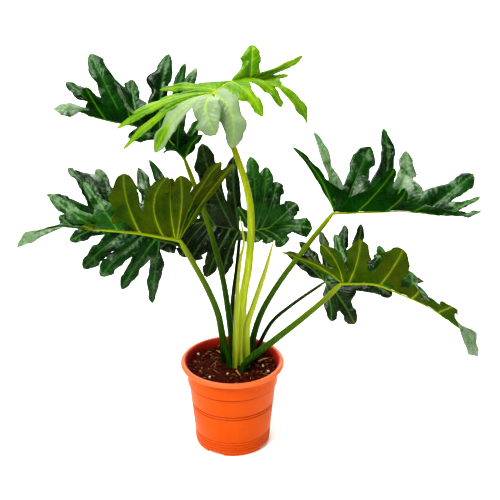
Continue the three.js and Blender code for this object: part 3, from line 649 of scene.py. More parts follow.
LEAVES = {
    "front_left": {
        "junction": (-0.085, -0.09, 0.446),
        "midrib": [
            (-0.07, -0.005, 0.015), (-0.125, -0.005, 0.02),
            (-0.165, 0, 0.021), (-0.215, 0.008, 0.022),
        ],
        "end": lobe(1, (-0.276, -0.004, -0.014), 0.013, up=(-0.1, -0.6, 0.8)),
        "left": [
            lobe(0, (0.091, 0.038, 0.122), 0.009, sinus=0.6, sweep=0.02),
            lobe(0.01, (0.07, 0.022, 0.133), 0.0115, sinus=0.34, sweep=0.02),
            lobe(0.02, (0.004, -0.022, 0.124), 0.019, sinus=0.36, sweep=-0.06),
            lobe(0.03, (-0.01, -0.01, 0.115), 0.01, sinus=0.6, sweep=0.04),
            lobe(0.1, (-0.016, -0.032, 0.124), 0.017, sweep=0.14, sinus=0.24),
            lobe(0.24, (-0.086, -0.034, 0.132), 0.021, sweep=0.07, tooth=0.008, sinus=0.16),
            lobe(0.62, (-0.16, -0.022, 0.034), 0.01, sinus=0.2),
        ],
        "right": [
            lobe(0, (0.055, 0.066, 0.084), 0.009),
            lobe(0.05, (0.025, 0.062, 0.045), 0.016),
            lobe(0.2, (-0.035, 0.072, 0.048), 0.022),
            lobe(0.4, (-0.164, 0.045, 0.086), 0.01, sinus=0.3, sweep=0.02),
            lobe(0.58, (-0.221, 0.03, 0.068), 0.011, sinus=0.28, sweep=0.02),
            lobe(0.8, (-0.205, 0.025, 0.034), 0.008),
        ],
    },
    "back_left": {
        "junction": (-0.128, 0.02, 0.398),
        "midrib": [(-0.045, 0.005, 0.015), (-0.09, 0.005, 0.035), (-0.135, -0.005, 0.058)],
        "end": lobe(1, (-0.195, -0.02, 0.095), 0.011),
        "left": [
            lobe(0, (-0.014, -0.035, -0.11), 0.012, tooth=-0.004),
            lobe(0.05, (-0.066, -0.055, -0.072), 0.013, sinus=0.45),
            lobe(0.2, (-0.102, -0.055, -0.046), 0.015, sinus=0.5),
            lobe(0.4, (-0.132, -0.055, -0.031), 0.015),
            lobe(0.6, (-0.155, -0.04, 0.015), 0.012),
            lobe(0.8, (-0.172, -0.025, 0.048), 0.009),
        ],
        "right": [
            lobe(0, (-0.02, 0.062, 0.13), 0.012, sweep=-0.22),
            lobe(0.12, (-0.04, 0.068, 0.112), 0.014, sweep=-0.08, sinus=0.3),
            lobe(0.4, (-0.112, 0.078, 0.108), 0.011, sinus=0.85),
            lobe(0.6, (-0.165, 0.058, 0.115), 0.013, sinus=0.4),
            lobe(0.76, (-0.138, 0.02, 0.102), 0.01, sinus=0.3),
            lobe(0.88, (-0.182, 0.005, 0.082), 0.009),
        ],
    },
    "upper_left": {
        "junction": (-0.082, 0.07, 0.532),
        "midrib": [(-0.035, 0, 0.042), (-0.08, -0.005, 0.062), (-0.128, -0.02, 0.077), (-0.16, -0.033, 0.09)],
        "end": lobe(1, (-0.22, -0.055, 0.11), 0.016, up=(0.2, -0.6, 0.8)),
        "left": [
            lobe(0, (0.032, -0.025, 0.055), 0.012),
            lobe(0.02, (-0.03, -0.05, 0.035), 0.012),
            lobe(0.3, (-0.095, -0.055, 0.06), 0.012, sinus=0.2),
            lobe(0.56, (-0.116, -0.032, 0.151), 0.008, sinus=0.2),
            lobe(0.8, (-0.164, -0.044, 0.146), 0.009, sinus=0.3),
        ],
        "right": [
            lobe(0, (0.025, 0.025, 0.065), 0.01),
            lobe(0.1, (0.02, 0.065, 0.15), 0.011),
            lobe(0.2, (0, 0.075, 0.155), 0.009),
            lobe(0.3, (-0.028, 0.065, 0.174), 0.015, tooth=0.012),
            lobe(0.5, (-0.095, 0.055, 0.13), 0.012, sinus=0.7),
            lobe(0.62, (-0.165, 0.045, 0.18), 0.016),
            lobe(0.8, (-0.205, 0.01, 0.14), 0.012),
            lobe(0.9, (-0.17, -0.01, 0.135), 0.008),
        ],
    },
    "young": {
        "junction": (-0.03, 0, 0.675),
        "midrib": [(0.025, 0.02, 0.012), (0.05, 0.04, 0.017), (0.085, 0.055, 0.002)],
        "end": lobe(1, (0.162, 0.038, -0.07), 0.017, arc=0.18),
        "left": [
            lobe(0, (0.007, -0.072, -0.05), 0.025, arc=0.2, sweep=-0.07, sinus=0.5),
            lobe(0, (-0.095, -0.075, -0.08), 0.02, arc=0.2, sinus=0.42),
            lobe(0, (-0.15, -0.045, -0.085), 0.009, arc=0.14, sinus=0.5),
            lobe(0, (-0.162, -0.025, -0.055), 0.009, arc=0.12, sinus=0.4),
            lobe(0.02, (-0.137, -0.005, -0.035), 0.01, sinus=0.3),
            lobe(0.08, (-0.092, 0.035, -0.005), 0.009, sinus=0.1),
            lobe(0.8, (0.067, 0.07, 0.065), 0.015, tooth=-0.008, sweep=0, sinus=0.2),
            lobe(0.86, (0.155, 0.108, 0.035), 0.006, sinus=0.3),
            lobe(0.95, (0.13, 0.09, 0.005), 0.004),
        ],
        "right": [
            lobe(0, (0.03, -0.054, -0.08), 0.021, arc=0.26, sweep=0.15, sinus=0.42),
            lobe(0.4, (0.084, -0.018, -0.036), 0.011, arc=0.14, sinus=0.2),
            lobe(0.75, (0.116, 0.014, -0.03), 0.015, arc=0.12),
        ],
    },
    "upper_right": {
        "junction": (0.179, 0.01, 0.454),
        "midrib": [(0.07, 0.005, 0), (0.13, 0.005, 0), (0.195, -0.004, -0.005)],
        "end": lobe(1, (0.26, -0.01, 0.01), 0.009, arc=-0.05),
        "left": [
            lobe(0, (-0.035, 0.06, 0.13), 0.009, sinus=0.34),
            lobe(0.08, (0.07, 0.09, 0.092), 0.022, sweep=-0.04),
            lobe(0.35, (0.092, 0.098, 0.124), 0.014),
            lobe(0.5, (0.135, 0.1, 0.08), 0.014, tooth=0.007),
            lobe(0.82, (0.25, 0.05, 0.055), 0.018),
            lobe(0.97, (0.258, 0.012, 0.025), 0.006),
        ],
        "right": [
            lobe(0, (-0.075, -0.02, 0.13), 0.008, sinus=0.2),
            lobe(0.2, (0.097, -0.056, 0.104), 0.011, sinus=0.3),
            lobe(0.45, (0.118, -0.048, 0.062), 0.01),
            lobe(0.72, (0.162, -0.042, 0.03), 0.01),
        ],
    },
    "front_right": {
        "junction": (0.19, -0.08, 0.36),
        "midrib": [(0.06, -0.005, 0), (0.1, -0.01, -0.015), (0.15, -0.01, -0.04), (0.188, -0.01, -0.068)],
        "end": lobe(1, (0.242, -0.018, -0.135), 0.023, arc=0.1, up=(0.5, -0.5, 0.7)),
        "left": [
            lobe(0, (-0.055, 0.06, 0.012), 0.008),
            lobe(0.03, (-0.01, 0.065, 0.065), 0.01),
            lobe(0.3, (0.07, 0.07, 0.04), 0.016),
            lobe(0.55, (0.125, 0.05, 0), 0.015),
            lobe(0.85, (0.182, 0.03, -0.062), 0.012),
        ],
        "right": [
            lobe(0, (-0.105, 0.02, 0.05), 0.006, sinus=0.3),
            lobe(0.01, (-0.038, -0.022, 0.084), 0.017, sinus=0.16),
            lobe(0.05, (0.026, -0.032, 0.096), 0.02, sinus=0.2),
            lobe(0.28, (0.098, -0.036, 0.08), 0.023, sweep=0.02, tooth=-0.006, sinus=0.14),
            lobe(0.6, (0.124, -0.048, 0.014), 0.015, sinus=0.2),
            lobe(0.86, (0.187, -0.035, -0.027), 0.019),
        ],
    },
    "back_right": {
        "junction": (0.168, 0.04, 0.305),
        "midrib": [(0.045, 0, 0.005), (0.1, -0.005, 0.01), (0.135, -0.01, 0.01)],
        "end": lobe(1, (0.18, -0.02, 0.01), 0.008),
        "left": [
            lobe(0, (-0.07, 0.022, 0.05), 0.012),
            lobe(0, (-0.045, 0.05, 0.06), 0.01),
            lobe(0.02, (-0.005, 0.06, 0.075), 0.009),
            lobe(0.1, (0.04, 0.07, 0.085), 0.01),
            lobe(0.2, (0.07, 0.065, 0.09), 0.009),
            lobe(0.6, (0.105, 0.045, 0.038), 0.016),
        ],
        "right": [
            lobe(0.01, (0.012, -0.04, -0.06), 0.012, sinus=0.7),
            lobe(0.04, (0.055, -0.042, -0.065), 0.014),
            lobe(0.5, (0.12, -0.038, -0.01), 0.012),
        ],
    },
    "centre_right": {
        "junction": (0.032, 0.095, 0.381),
        "midrib": [(0.02, 0, 0.005), (0.055, -0.005, 0.015)],
        "end": lobe(1, (0.115, -0.02, 0.015), 0.019, up=(-0.1, -0.8, 0.6)),
        "left": [
            lobe(0, (-0.022, 0.004, 0.048), 0.009),
            lobe(0.05, (0, 0.05, 0.13), 0.014, sinus=0.5),
            lobe(0.25, (0.03, 0.05, 0.11), 0.014, sinus=0.52),
            lobe(0.5, (0.05, 0.04, 0.085), 0.016, sinus=0.62),
            lobe(0.75, (0.085, 0.02, 0.05), 0.017, sinus=0.6),
        ],
        "right": [
            lobe(0, (0.015, -0.025, -0.01), 0.013, sinus=0.6),
            lobe(0.3, (0.04, -0.03, -0.008), 0.014, sinus=0.7),
            lobe(0.6, (0.065, -0.03, -0.012), 0.016, sinus=0.7),
        ],
    },
    "centre_left": {
        "junction": (0.014, 0.116, 0.374),
        "midrib": [(-0.04, 0, 0.01), (-0.07, -0.005, 0.02), (-0.095, -0.01, 0.01)],
        "end": lobe(1, (-0.149, -0.025, -0.026), 0.025, up=(0.1, -0.9, 0.4)),
        "left": [
            lobe(0, (0.024, -0.016, -0.014), 0.009),
            lobe(0.02, (-0.032, -0.038, -0.075), 0.013),
            lobe(0.15, (-0.062, -0.043, -0.075), 0.014, sinus=0.6),
            lobe(0.4, (-0.09, -0.04, -0.042), 0.017, sinus=0.7),
            lobe(0.6, (-0.108, -0.035, -0.037), 0.016, sinus=0.6),
        ],
        "right": [
            lobe(0, (-0.012, 0.05, 0.13), 0.014),
            lobe(0.1, (-0.07, 0.05, 0.155), 0.022),
            lobe(0.4, (-0.07, 0.025, 0.065), 0.016),
            lobe(0.75, (-0.1, 0.005, 0.012), 0.012),
        ],
    },
}

SHEATHS = {
    "left": {
        "foot": (-0.005, -0.016),
        "via": [(0.008, -0.019, 0.281), (0.017, -0.024, 0.388), (0.022, -0.026, 0.41)],
        "end": (0.015, -0.027, 0.464), "wide": 0.0042,
    },
    "right": {
        "foot": (0.016, -0.013),
        "via": [(0.027, -0.016, 0.246), (0.038, -0.016, 0.284), (0.059, -0.018, 0.354)],
        "end": (0.074, -0.02, 0.415), "wide": 0.0072,
    },
}

ROOTS = {
    "left": {"path": [(-0.017, 0.027, 0.1578), (-0.023, 0.038, 0.16), (-0.03, 0.05, 0.1576)], "wide": 0.0022},
    "back": {
        "path": [(0.043, 0.044, 0.1583), (0.05, 0.047, 0.166), (0.059, 0.049, 0.171), (0.066, 0.05, 0.174)],
        "wide": 0.0023,
    },
    "right": {
        "path": [(0.048, 0.007, 0.158), (0.057, 0.013, 0.1595), (0.068, 0.021, 0.1578)],
        "wide": 0.0023,
    },
    "front": {
        "path": [(0.008, -0.028, 0.158), (0.01, -0.036, 0.16), (0.015, -0.044, 0.1578)],
        "wide": 0.0022,
    },
}

PERLITE = [
    (-0.064, 0.038, 0.0026), (-0.008, -0.036, 0.0024), (0.056, -0.008, 0.0028),
    (0.066, -0.026, 0.0022), (-0.04, -0.048, 0.0023),
]
print(len(LEAVES), "leaves with", sum(len(f["left"]) + len(f["right"]) + 1 for f in LEAVES.values()), "lobes")

# %% [markdown]
# ## Leaf wax and leaf underside
# A mature leaf is two materials back to back. The upper side is deep green under a clear wax, so it mirrors
# the sky at low angles and goes grey-green there: an IOR near 1.45, a roughness near 0.3 and a thin coat.
# The underside has no wax, is olive, duller, and carries the raised pale veins. The marks left on the grid
# say how far each spot is from its vein and from the midrib, in metres, so a vein is simply wherever that
# distance is small, and side veins repeat every 9 mm along it, slanted forward. A last mark says how much
# pale grey-green a lobe carries, in patches. On the mature leaves it is painted sheen that stands in for
# highlights, and on the youngest leaf it is real bloom that hides most of the green.

# %% Leaf skins
EASED = {"interpolation_type": "SMOOTHSTEP"}
FADING = {"To Min": 1, "To Max": 0}
HALF_VEIN_GAP = 0.0045
HALF_GAPS = 222  # half vein gaps in a metre
VEIN_TAPER = 0.006  # how much nearer the vein's edge comes for each metre along it


def leaf_skin(
    name, dark, light, vein, vein_mm, rough, side_tint, relief, patches=None, coat=0.0, bloom=False
):
    """relief is how far the veins stand out. Below 0 they are sunk, as on a waxed upper side."""
    material, tree, skin = new_material(name)
    where = add(tree, "TexCoord", out="Object")
    from_vein, along, from_rib, waxed = (
        add(tree, "Attribute", out="Fac", attribute_name=mark)
        for mark in ("from_vein", "along_vein", "from_rib", "pale_wax")
    )
    upper = relief < 0

    # Where the veins are: the lobe's own vein, the midrib, and the slanted side veins.
    half = vein_mm / 2000
    thinning = add(tree, "Math", {0: along, 1: VEIN_TAPER, 2: from_vein}, operation="MULTIPLY_ADD")
    reach = {"Value": thinning, "From Min": half * 0.7, "From Max": half * 1.5, **FADING}
    main_vein = add(tree, "MapRange", reach, **EASED)
    reach = {"Value": from_rib, "From Min": half * 1.1, "From Max": half * 1.9, **FADING}
    midrib = add(tree, "MapRange", reach, **EASED)
    line = add(tree, "Math", {0: main_vein, 1: midrib}, operation="MAXIMUM")
    reach = {"Value": thinning, "From Min": half, "From Max": half + 0.004, "To Min": 0.3, "To Max": 0}
    near_vein = add(tree, "MapRange", reach, **EASED)
    slant = add(tree, "Math", {0: from_vein, 1: -0.75, 2: along}, operation="MULTIPLY_ADD")
    wobble = add(tree, "TexNoise", {"Vector": where, "Scale": 30, "Detail": 2})
    uneven = add(tree, "Math", {0: wobble, 1: 0.010, 2: slant}, operation="MULTIPLY_ADD")
    rhythm = add(tree, "Math", {0: uneven, 1: HALF_VEIN_GAP}, operation="PINGPONG")
    reach = {"Value": rhythm, "From Min": 0.0001, "From Max": 0.0011, **FADING}
    side_vein = add(tree, "MapRange", reach, **EASED)
    side_vein = add(tree, "Math", {0: side_vein, 1: side_tint}, operation="MULTIPLY")

    # Colour: two greens in clouds of about 40 mm, then patches, painted sheen and bloom, and the veins over
    # them.
    clouds = add(tree, "TexNoise", {"Vector": where, "Scale": 26, "Detail": 4, "Roughness": 0.6})
    share = add(tree, "MapRange", {"Value": clouds, "From Min": 0.35, "From Max": 0.65}, **EASED)
    colour = add(tree, "Mix", {"Factor": share, "A": srgb(dark), "B": srgb(light)}, **RGBA)
    if patches:
        broad = add(tree, "TexNoise", {"Vector": where, "Scale": 9, "Detail": 2})
        share = {"Value": broad, "From Min": 0.42, "From Max": 0.62, "To Max": 0.5}
        share = add(tree, "MapRange", share, **EASED)
        colour = add(tree, "Mix", {"Factor": share, "A": colour, "B": srgb(patches)}, **RGBA)
    if upper:
        # On mature upper sides the pale grey-green patches are painted sheen, standing in for highlights;
        # with bloom, on the young leaf, they are its real grey-green bloom.
        size, spread, most, pale = (26, 0.9, 0.84, "#7D8E71") if bloom else (55, 2.3, 0.9, "#74886A")
        broken = add(tree, "TexNoise", {"Vector": where, "Scale": size, "Detail": 5, "Roughness": 0.7})
        centred = add(tree, "Math", {0: broken, 1: 0.5}, operation="SUBTRACT")
        patchy = add(tree, "Math", {0: centred, 1: spread, 2: waxed}, operation="MULTIPLY_ADD")
        share = {"Value": patchy, "From Min": 0.3, "From Max": 0.85, "To Max": most}
        share = add(tree, "MapRange", share, **EASED)
        colour = add(tree, "Mix", {"Factor": share, "A": colour, "B": srgb(pale)}, **RGBA)
    for share in (side_vein, near_vein, line):
        colour = add(tree, "Mix", {"Factor": share, "A": colour, "B": srgb(vein)}, **RGBA)

    # Relief: the quilting between side veins, fine grain, the main veins, and slow swells.
    rise = add(tree, "Math", {0: rhythm, 1: HALF_GAPS}, operation="MULTIPLY")
    rise = add(tree, "Math", {0: rise, 1: 0.6}, operation="POWER")
    raised = add(tree, "Math", {0: rise, 1: 0.55}, operation="MULTIPLY")
    fine = add(tree, "TexNoise", {"Vector": where, "Scale": 330, "Detail": 3})
    swell = add(tree, "TexNoise", {"Vector": where, "Scale": 60, "Detail": 2})
    for source, height in ((fine, 0.12), (line, relief), (swell, 1.6 if bloom else 4.5)):
        raised = add(tree, "Math", {0: source, 1: height, 2: raised}, operation="MULTIPLY_ADD")
    bump = add(tree, "Bump", {"Height": raised, "Strength": 0.6, "Distance": 0.0011})
    sheen = {"Value": clouds, "From Min": 0.3, "From Max": 0.7, "To Min": rough - 0.06, "To Max": rough + 0.1}
    dulled = add(tree, "MapRange", sheen, **EASED)
    feed(skin, {"Base Color": colour, "Roughness": dulled, "Normal": bump, "IOR": 1.44})
    feed(skin, {"Specular IOR Level": 0.3 if upper else 0.08, "Coat Weight": coat, "Coat Roughness": 0.22})
    feed(skin, {"Subsurface Weight": 0.08, "Subsurface Scale": 1})
    feed(skin, {"Subsurface Radius": (0.0008, 0.0016, 0.0004)})
    return material


print("leaf skin helper ready")

# %% The four ages of leaf, each an upper and an underside
SKINS = {
    # Deep green that mirrors the sky, over a plain green underside.
    "mature": (
        leaf_skin("waxed_leaf_upper", "#032002", "#0E4404", "#4A8228", 1.3, 0.30, 0.08, -0.5, coat=0.12),
        leaf_skin("green_leaf_underside", "#083400", "#124A02", "#64921C", 1.5, 0.45, 0.06, 0.9),
    ),
    # Brighter green with a film of wax, over an olive underside with yellow veins.
    "olive": (
        leaf_skin("waxed_leaf_upper_pale", "#0A3402", "#20580A", "#5E8C38", 1.3, 0.30, 0.08, -0.5, coat=0.15),
        leaf_skin("olive_leaf_underside", "#324E00", "#465800", "#8C9A24", 1.5, 0.5, 0.05, 0.9, "#464A00"),
    ),
    # Dull dark green, partly the leaves' own darker colour and partly painted shade: the leaves low and at
    # the back.
    "shaded": (
        leaf_skin("dark_leaf_upper_painted_shade", "#081A02", "#1C3604", "#5C7C38", 1.4, 0.34, 0.12, -0.5, coat=0.08),
        leaf_skin("dark_leaf_underside_painted_shade", "#162A04", "#263C04", "#58741C", 1.8, 0.5, 0.1, 0.9),
    ),
    # Yellow-green and soft, with grey-green bloom near its base.
    "fresh": (
        leaf_skin("young_leaf_upper", "#4A7602", "#6E9002", "#94AE20", 1.2, 0.38, 0.12, -0.5, bloom=True),
        leaf_skin("young_leaf_underside", "#668A02", "#8AA004", "#A8B420", 1.5, 0.45, 0.10, 0.9),
    ),
}
AGE = {"young": "fresh", "back_right": "shaded", "centre_left": "shaded"}
AGE |= {"front_left": "olive", "front_right": "olive", "centre_right": "olive"}
print(2 * len(SKINS), "leaf finishes")

# %% How much pale grey-green each lobe carries, painted sheen on the mature leaves and real bloom on the young one: the end lobe, the left ones and the right ones from the base
PAINTED_SHEEN_AND_BLOOM = {
    "front_left": (0.75, (0,) * 7, (0.1, 0.1, 0.1, 0.3, 0.45, 0.4)),
    "back_left": (0.3, (0.35, 0.25, 0.3, 0.35, 0.3, 0.3), (0.1, 0.35, 0.5, 0.3, 0.2, 0.2)),
    "upper_left": (0.8, (0.1, 0.1, 0.3, 0.6, 0.5), (0.1, 0.5, 0.2, 0.2, 0.3, 0.2, 0.2, 0.3)),
    "upper_right": (0.4, (0.75, 0.35, 0.25, 0.65, 0.3, 0.5), (0.2, 0.1, 0.4, 0.2)),
    "front_right": (0.85, (0.3, 0.3, 0.3, 0.4, 0.5), (0.3, 0, 0, 0, 0, 0)),
    "young": (0, (1, 1.2, 0.2, 0.05, 0.05, 0.05, 0, 0, 0), (1, 0.1, 0)),
    "back_right": (0, (0.1,) * 6, (0.1,) * 3),
    "centre_right": (0.3, (0.2,) * 5, (0.25,) * 3),
    "centre_left": (0.1, (0.1,) * 5, (0.25,) * 4),
}
for name, (end, left, right) in PAINTED_SHEEN_AND_BLOOM.items():
    leaf = LEAVES[name]
    for row, share in zip((leaf["end"], *leaf["left"], *leaf["right"]), (end, *left, *right), strict=True):
        row["wax"] = share
print("wax set on", len(PAINTED_SHEEN_AND_BLOOM), "leaves")

# %% [markdown]
# ## A leaf blade
# Each lobe is one grid. Its middle column is the lobe's vein and its outer columns are its edges. Near the
# midrib, the lobe shares its edge with the next one, halfway between their two veins, which makes the web.
# Past the cut, each goes on alone, widens, and closes to a tip. Three things make a grid look grown: the
# web bulges up between veins, the edge wanders in and out and curls up and down, and slow noise puckers it.
# The lobes and the narrow strip along the midrib are joined, their common corners merged, and Solidify
# gives the blade a wall, with the second material on its underside.

# %% Veins and webs
ROWS, PART_ROW, HALF = 26, 10, 6  # rows along a lobe, the row where two lobes part, columns a side
PLAIN_ARC, PLAIN_SWEEP, PLAIN_SINUS = 0.08, 0.05, 0.36
ROUND_TIP, POINTED_TIP = (0.62, 0.45), (1.15, 0.22)  # how sharp the tip is, and where the lobe is widest
RIB_HALF_WIDTH = 0.001
RIB_STEPS = 240  # how finely the midrib is walked to find the nearest place on it
BLADE_WALL = 0.0007
YOUNG_PUCKER, PUCKER = 0.0008, 0.0018
BROAD, FINE = 48, 110  # noise scales of the pucker: swells about 20 mm and 9 mm wide
WEB_BULGE, LOBE_BULGE = 0.004, 0.003  # the most a web, and each half of a lobe, swells up
SAME_CORNER, NEXT_CORNER = 2.5e-5, 3e-5  # corners nearer than this are one


def ease(x):
    x = min(max(x, 0), 1)
    return x * x * (3 - 2 * x)


class Vein:
    """A quadratic curve from the midrib to a lobe's tip. turn is -1 on the leaf's left and 1 on its right."""

    def __init__(self, row, start, tip, upper, forward, turn, number):
        self.row, self.upper, self.turn, self.number = row, upper, turn, number
        self.start, self.tip, self.length = start, tip, (tip - start).length
        self.bow = (start + tip) / 2 + 2 * row.get("arc", PLAIN_ARC) * self.length * upper
        self.bow += 2 * row.get("sweep", PLAIN_SWEEP) * self.length * forward

    def at(self, share):
        rest = 1 - share
        return rest * rest * self.start + 2 * rest * share * self.bow + share * share * self.tip

    def direction(self, share):
        return ((1 - share) * (self.bow - self.start) + share * (self.tip - self.bow)).normalized()


def veins_of(leaf, side, midrib):
    junction = Vector(leaf["junction"])
    turn = -1 if side == "left" else 1
    rows = [*leaf[side], leaf["end"]]
    roots = [midrib.at(row["at"]) for row in rows]
    spokes = [Vector(row["tip"]) + junction - root for row, root in zip(rows, roots)]
    forward = (midrib.at(1) - midrib.at(0)).normalized()
    veins = []
    for i, row in enumerate(rows):
        upper = spokes[i].cross(forward) * (turn * 0.040)  # a weak pull, for a lobe with no neighbour
        if i > 0:
            upper += spokes[i - 1].cross(spokes[i]) * turn
        if i < len(rows) - 1:
            upper += spokes[i].cross(spokes[i + 1]) * turn
        upper = Vector(row.get("up", upper)).normalized()
        veins.append(Vein(row, roots[i], roots[i] + spokes[i], upper, forward, turn, i))
    return veins


def share_end_vein(left, right, midrib):
    upper = (left[-1].upper + right[-1].upper).normalized()
    forward = (midrib.at(1) - midrib.at(0)).normalized()
    for veins in (left, right):
        old = veins[-1]
        veins[-1] = Vein(old.row, old.start, old.tip, upper, forward, old.turn, old.number)


# %% The edge of a lobe, and the web between two
def lobe_width(along, point, widest):
    if along < widest:
        return 0.66 + 0.34 * math.sin(math.pi / 2 * along / widest)
    return (1 - ((along - widest) / (1 - widest)) ** 2) ** point


def edge_offset(vein, share, along, start, ahead):
    """How far the free edge stands from the vein: out to the side, with its own waves and curl."""
    across = vein.direction(share).cross(vein.upper).normalized() * (-vein.turn * ahead)
    parted = ease(along / 0.35)
    wide = vein.row["wide"]
    last = "up" in vein.row or vein.row["at"] == 1
    width = wide * lobe_width(along, *(POINTED_TIP if last else ROUND_TIP))
    tooth = vein.row.get("tooth", 0)
    if tooth * ahead > 0:
        width += abs(tooth) * math.exp(-(((along - 0.42) / 0.14) ** 2))
    phase = 2.3 * vein.number + 1.1 * ahead + 0.7 * vein.turn
    free = along * (1 - along) * (2 if last else 4)
    drift = noise.noise(Vector((3.1 * along, phase, vein.length * 40)))
    ripples = 0.09 * math.sin(15 * along + phase) + 0.05 * math.sin(31 * along + 2 * phase)
    width *= 1 + free * (0.30 * drift + ripples)
    curl = wide * (0.16 * math.sin(11 * along + 1.7 * phase) - 0.10) * min(1, 2.2 * (1 - along))
    return start * (1 - parted) + parted * (across * width + vein.upper * curl)


def web_between(a, b, cut, midrib):
    points = [midrib.at((a.row["at"] + b.row["at"]) / 2)]
    upper = (a.upper + b.upper).normalized()
    for k in range(1, PART_ROW + 1):
        share = cut * k / PART_ROW
        p, q = a.at(share), b.at(share)
        bulge = min(0.13 * (p - q).length, WEB_BULGE) * ease(k / PART_ROW * 1.4)
        points.append((p + q) / 2 + upper * bulge)
    return points


def edge_of(vein, web, cut, ahead):
    """The lobe's edge, row by row, with how far along the vein each point is."""
    start = web[PART_ROW] - vein.at(cut) if web else Vector((0, 0, 0))
    points = []
    for k in range(ROWS + 1):
        if web and k <= PART_ROW:
            points.append((web[k], cut * k / PART_ROW))
            continue
        first = PART_ROW if web else 0
        along = (k - first) / (ROWS - first)
        share = cut + (1 - cut) * along if web else along
        points.append((vein.at(share) + edge_offset(vein, share, along, start, ahead), share))
    return points


# %% Half a blade
def wax_at(wax, done, share):
    """Painted sheen, and on the young leaf real bloom, at a corner, from how far along the vein and how far
    towards the edge it is.
    """
    if wax > 1:
        return wax * (1 - 0.8 * ease((done - 0.5) / 0.3) * (1 - share**2))  # green again towards the tip
    if wax < 1:
        return wax * ease((done - 0.15) / 0.2)  # none on the web beside the midrib
    return wax


def half_blade(veins, midrib):
    """The grids of one side's lobes, and the corners along the midrib that the other side joins on to."""
    roots, grids = [], []
    guide = veins[min(2, len(veins) - 2)].upper

    def beside(at):
        out = midrib.direction(at).cross(guide).normalized() * veins[0].turn
        return midrib.at(at) + out * RIB_HALF_WIDTH * (1 - at)

    web, cut, web_at = None, 0, veins[0].row["at"]
    for i, vein in enumerate(veins):
        last = i == len(veins) - 1
        spine = [(vein.at(k / ROWS), k / ROWS) for k in range(ROWS + 1)]
        back = edge_of(vein, web, cut, -1)
        at = vein.row["at"]
        if last:
            next_web, next_at, front = None, at, None
        else:
            cut = vein.row.get("sinus", PLAIN_SINUS)
            next_web = web_between(vein, veins[i + 1], cut, midrib)
            next_at = (at + veins[i + 1].row["at"]) / 2
            front = edge_of(vein, next_web, cut, 1)

        sides = ((back, web_at), (front, next_at))

        def corner(column, row, vein=vein, spine=spine, sides=sides, at=at, web=web):
            out = column - HALF
            share = abs(out) / HALF
            edge, edge_at = sides[0 if out < 0 else 1]
            if row == 0:
                root_at = at + (edge_at - at) * share if out > 0 or web else at
                spot = beside(root_at)
                return spot, (spot - beside(at)).length, 0, wax_at(vein.row["wax"], 0, share)
            (middle, done), (rim, rim_done) = spine[row], edge[row] if edge else spine[row]
            spot = middle.lerp(rim, share)
            gap = (rim - middle).length
            spot = spot + vein.upper * min(gap * 0.10, LOBE_BULGE) * math.sin(math.pi * share)
            along = (done + (rim_done - done) * share) * vein.length
            return spot, gap * share, along, wax_at(vein.row["wax"], done, share)

        columns_here = HALF if last else 2 * HALF
        flip = vein.turn > 0

        def place(column, row, corner=corner, flip=flip, count=columns_here):
            return corner(count - column if flip else column, row)

        grids.append(laid("lobe", columns_here, ROWS, place, ("from_vein", "along_vein", "pale_wax")))
        for column in range(columns_here + 1):
            spot = corner(column, 0)[0]
            root_at = at + ((web_at if column < HALF else next_at) - at) * abs(column - HALF) / HALF
            if not roots or (roots[-1][1] - spot).length > NEXT_CORNER:
                roots.append((root_at, spot))
        web, web_at = next_web, next_at
    return grids, roots


def rib_strip(left, right):
    """Triangles between the two rows of corners along the midrib."""
    corners = [spot for _, spot in left] + [spot for _, spot in right]
    faces, i, j = [], 0, 0
    while i < len(left) - 1 or j < len(right) - 1:
        step_left = j == len(right) - 1 or (i < len(left) - 1 and left[i + 1][0] <= right[j + 1][0])
        a, b = i, len(left) + j
        if step_left:
            i += 1
            faces.append((a, b, i))
        else:
            j += 1
            faces.append((a, b, len(left) + j))
    mesh = bpy.data.meshes.new("rib_strip")
    mesh.from_pydata(corners, [], faces)
    strip = bpy.data.objects.new("rib_strip", mesh)
    bpy.context.collection.objects.link(strip)
    return strip


# %% A whole blade
def blade(name, leaf, pucker):
    origin = Vector(leaf["junction"])
    midrib = Line([origin, *(Vector(p) + origin for p in leaf["midrib"])])
    left, right = (veins_of(leaf, side, midrib) for side in ("left", "right"))
    share_end_vein(left, right, midrib)
    left_grids, left_roots = half_blade(left, midrib)
    right_grids, right_roots = half_blade(right, midrib)
    whole = joined([*left_grids, *right_grids, rib_strip(left_roots, right_roots)], "leaf_" + name)
    in_edit_mode(whole, merged(SAME_CORNER), facing_out)
    mesh = whole.data
    up = (left[len(left) // 2].upper + right[len(right) // 2].upper).normalized()
    if sum(face.normal.dot(up) * face.area for face in mesh.polygons) < 0:
        in_edit_mode(whole, bpy.ops.mesh.flip_normals)
    spots = np.array([corner.co for corner in mesh.vertices])
    rib = np.array([midrib.at(i / RIB_STEPS) for i in range(RIB_STEPS + 1)])
    nearest = np.sqrt(((spots[:, None, :] - rib[None]) ** 2).sum(-1)).min(1)
    mesh.attributes.new("from_rib", "FLOAT", "POINT").data.foreach_set("value", nearest.astype(np.float32))
    normals = [corner.normal.copy() for corner in mesh.vertices]
    for corner, normal in zip(mesh.vertices, normals):
        spot = corner.co - origin
        corner.co += normal * pucker * (noise.noise(spot * BROAD) + 0.6 * noise.noise(spot * FINE))
    for material in SKINS[AGE.get(name, "mature")]:
        mesh.materials.append(material)
    shaped_by(whole, "SOLIDIFY", thickness=BLADE_WALL, offset=-1, material_offset=1, material_offset_rim=1)
    smooth(whole)
    finished(whole, "young_leaf" if name == "young" else "leaf", "blade_" + name)
    leaf["up"], leaf["rib"] = up, midrib
    return whole


leaves = {}
for name, leaf in LEAVES.items():
    leaves[name] = blade(name, leaf, YOUNG_PUCKER if name == "young" else PUCKER)
    print("leaf", name, len(leaves[name].data.polygons), "faces")

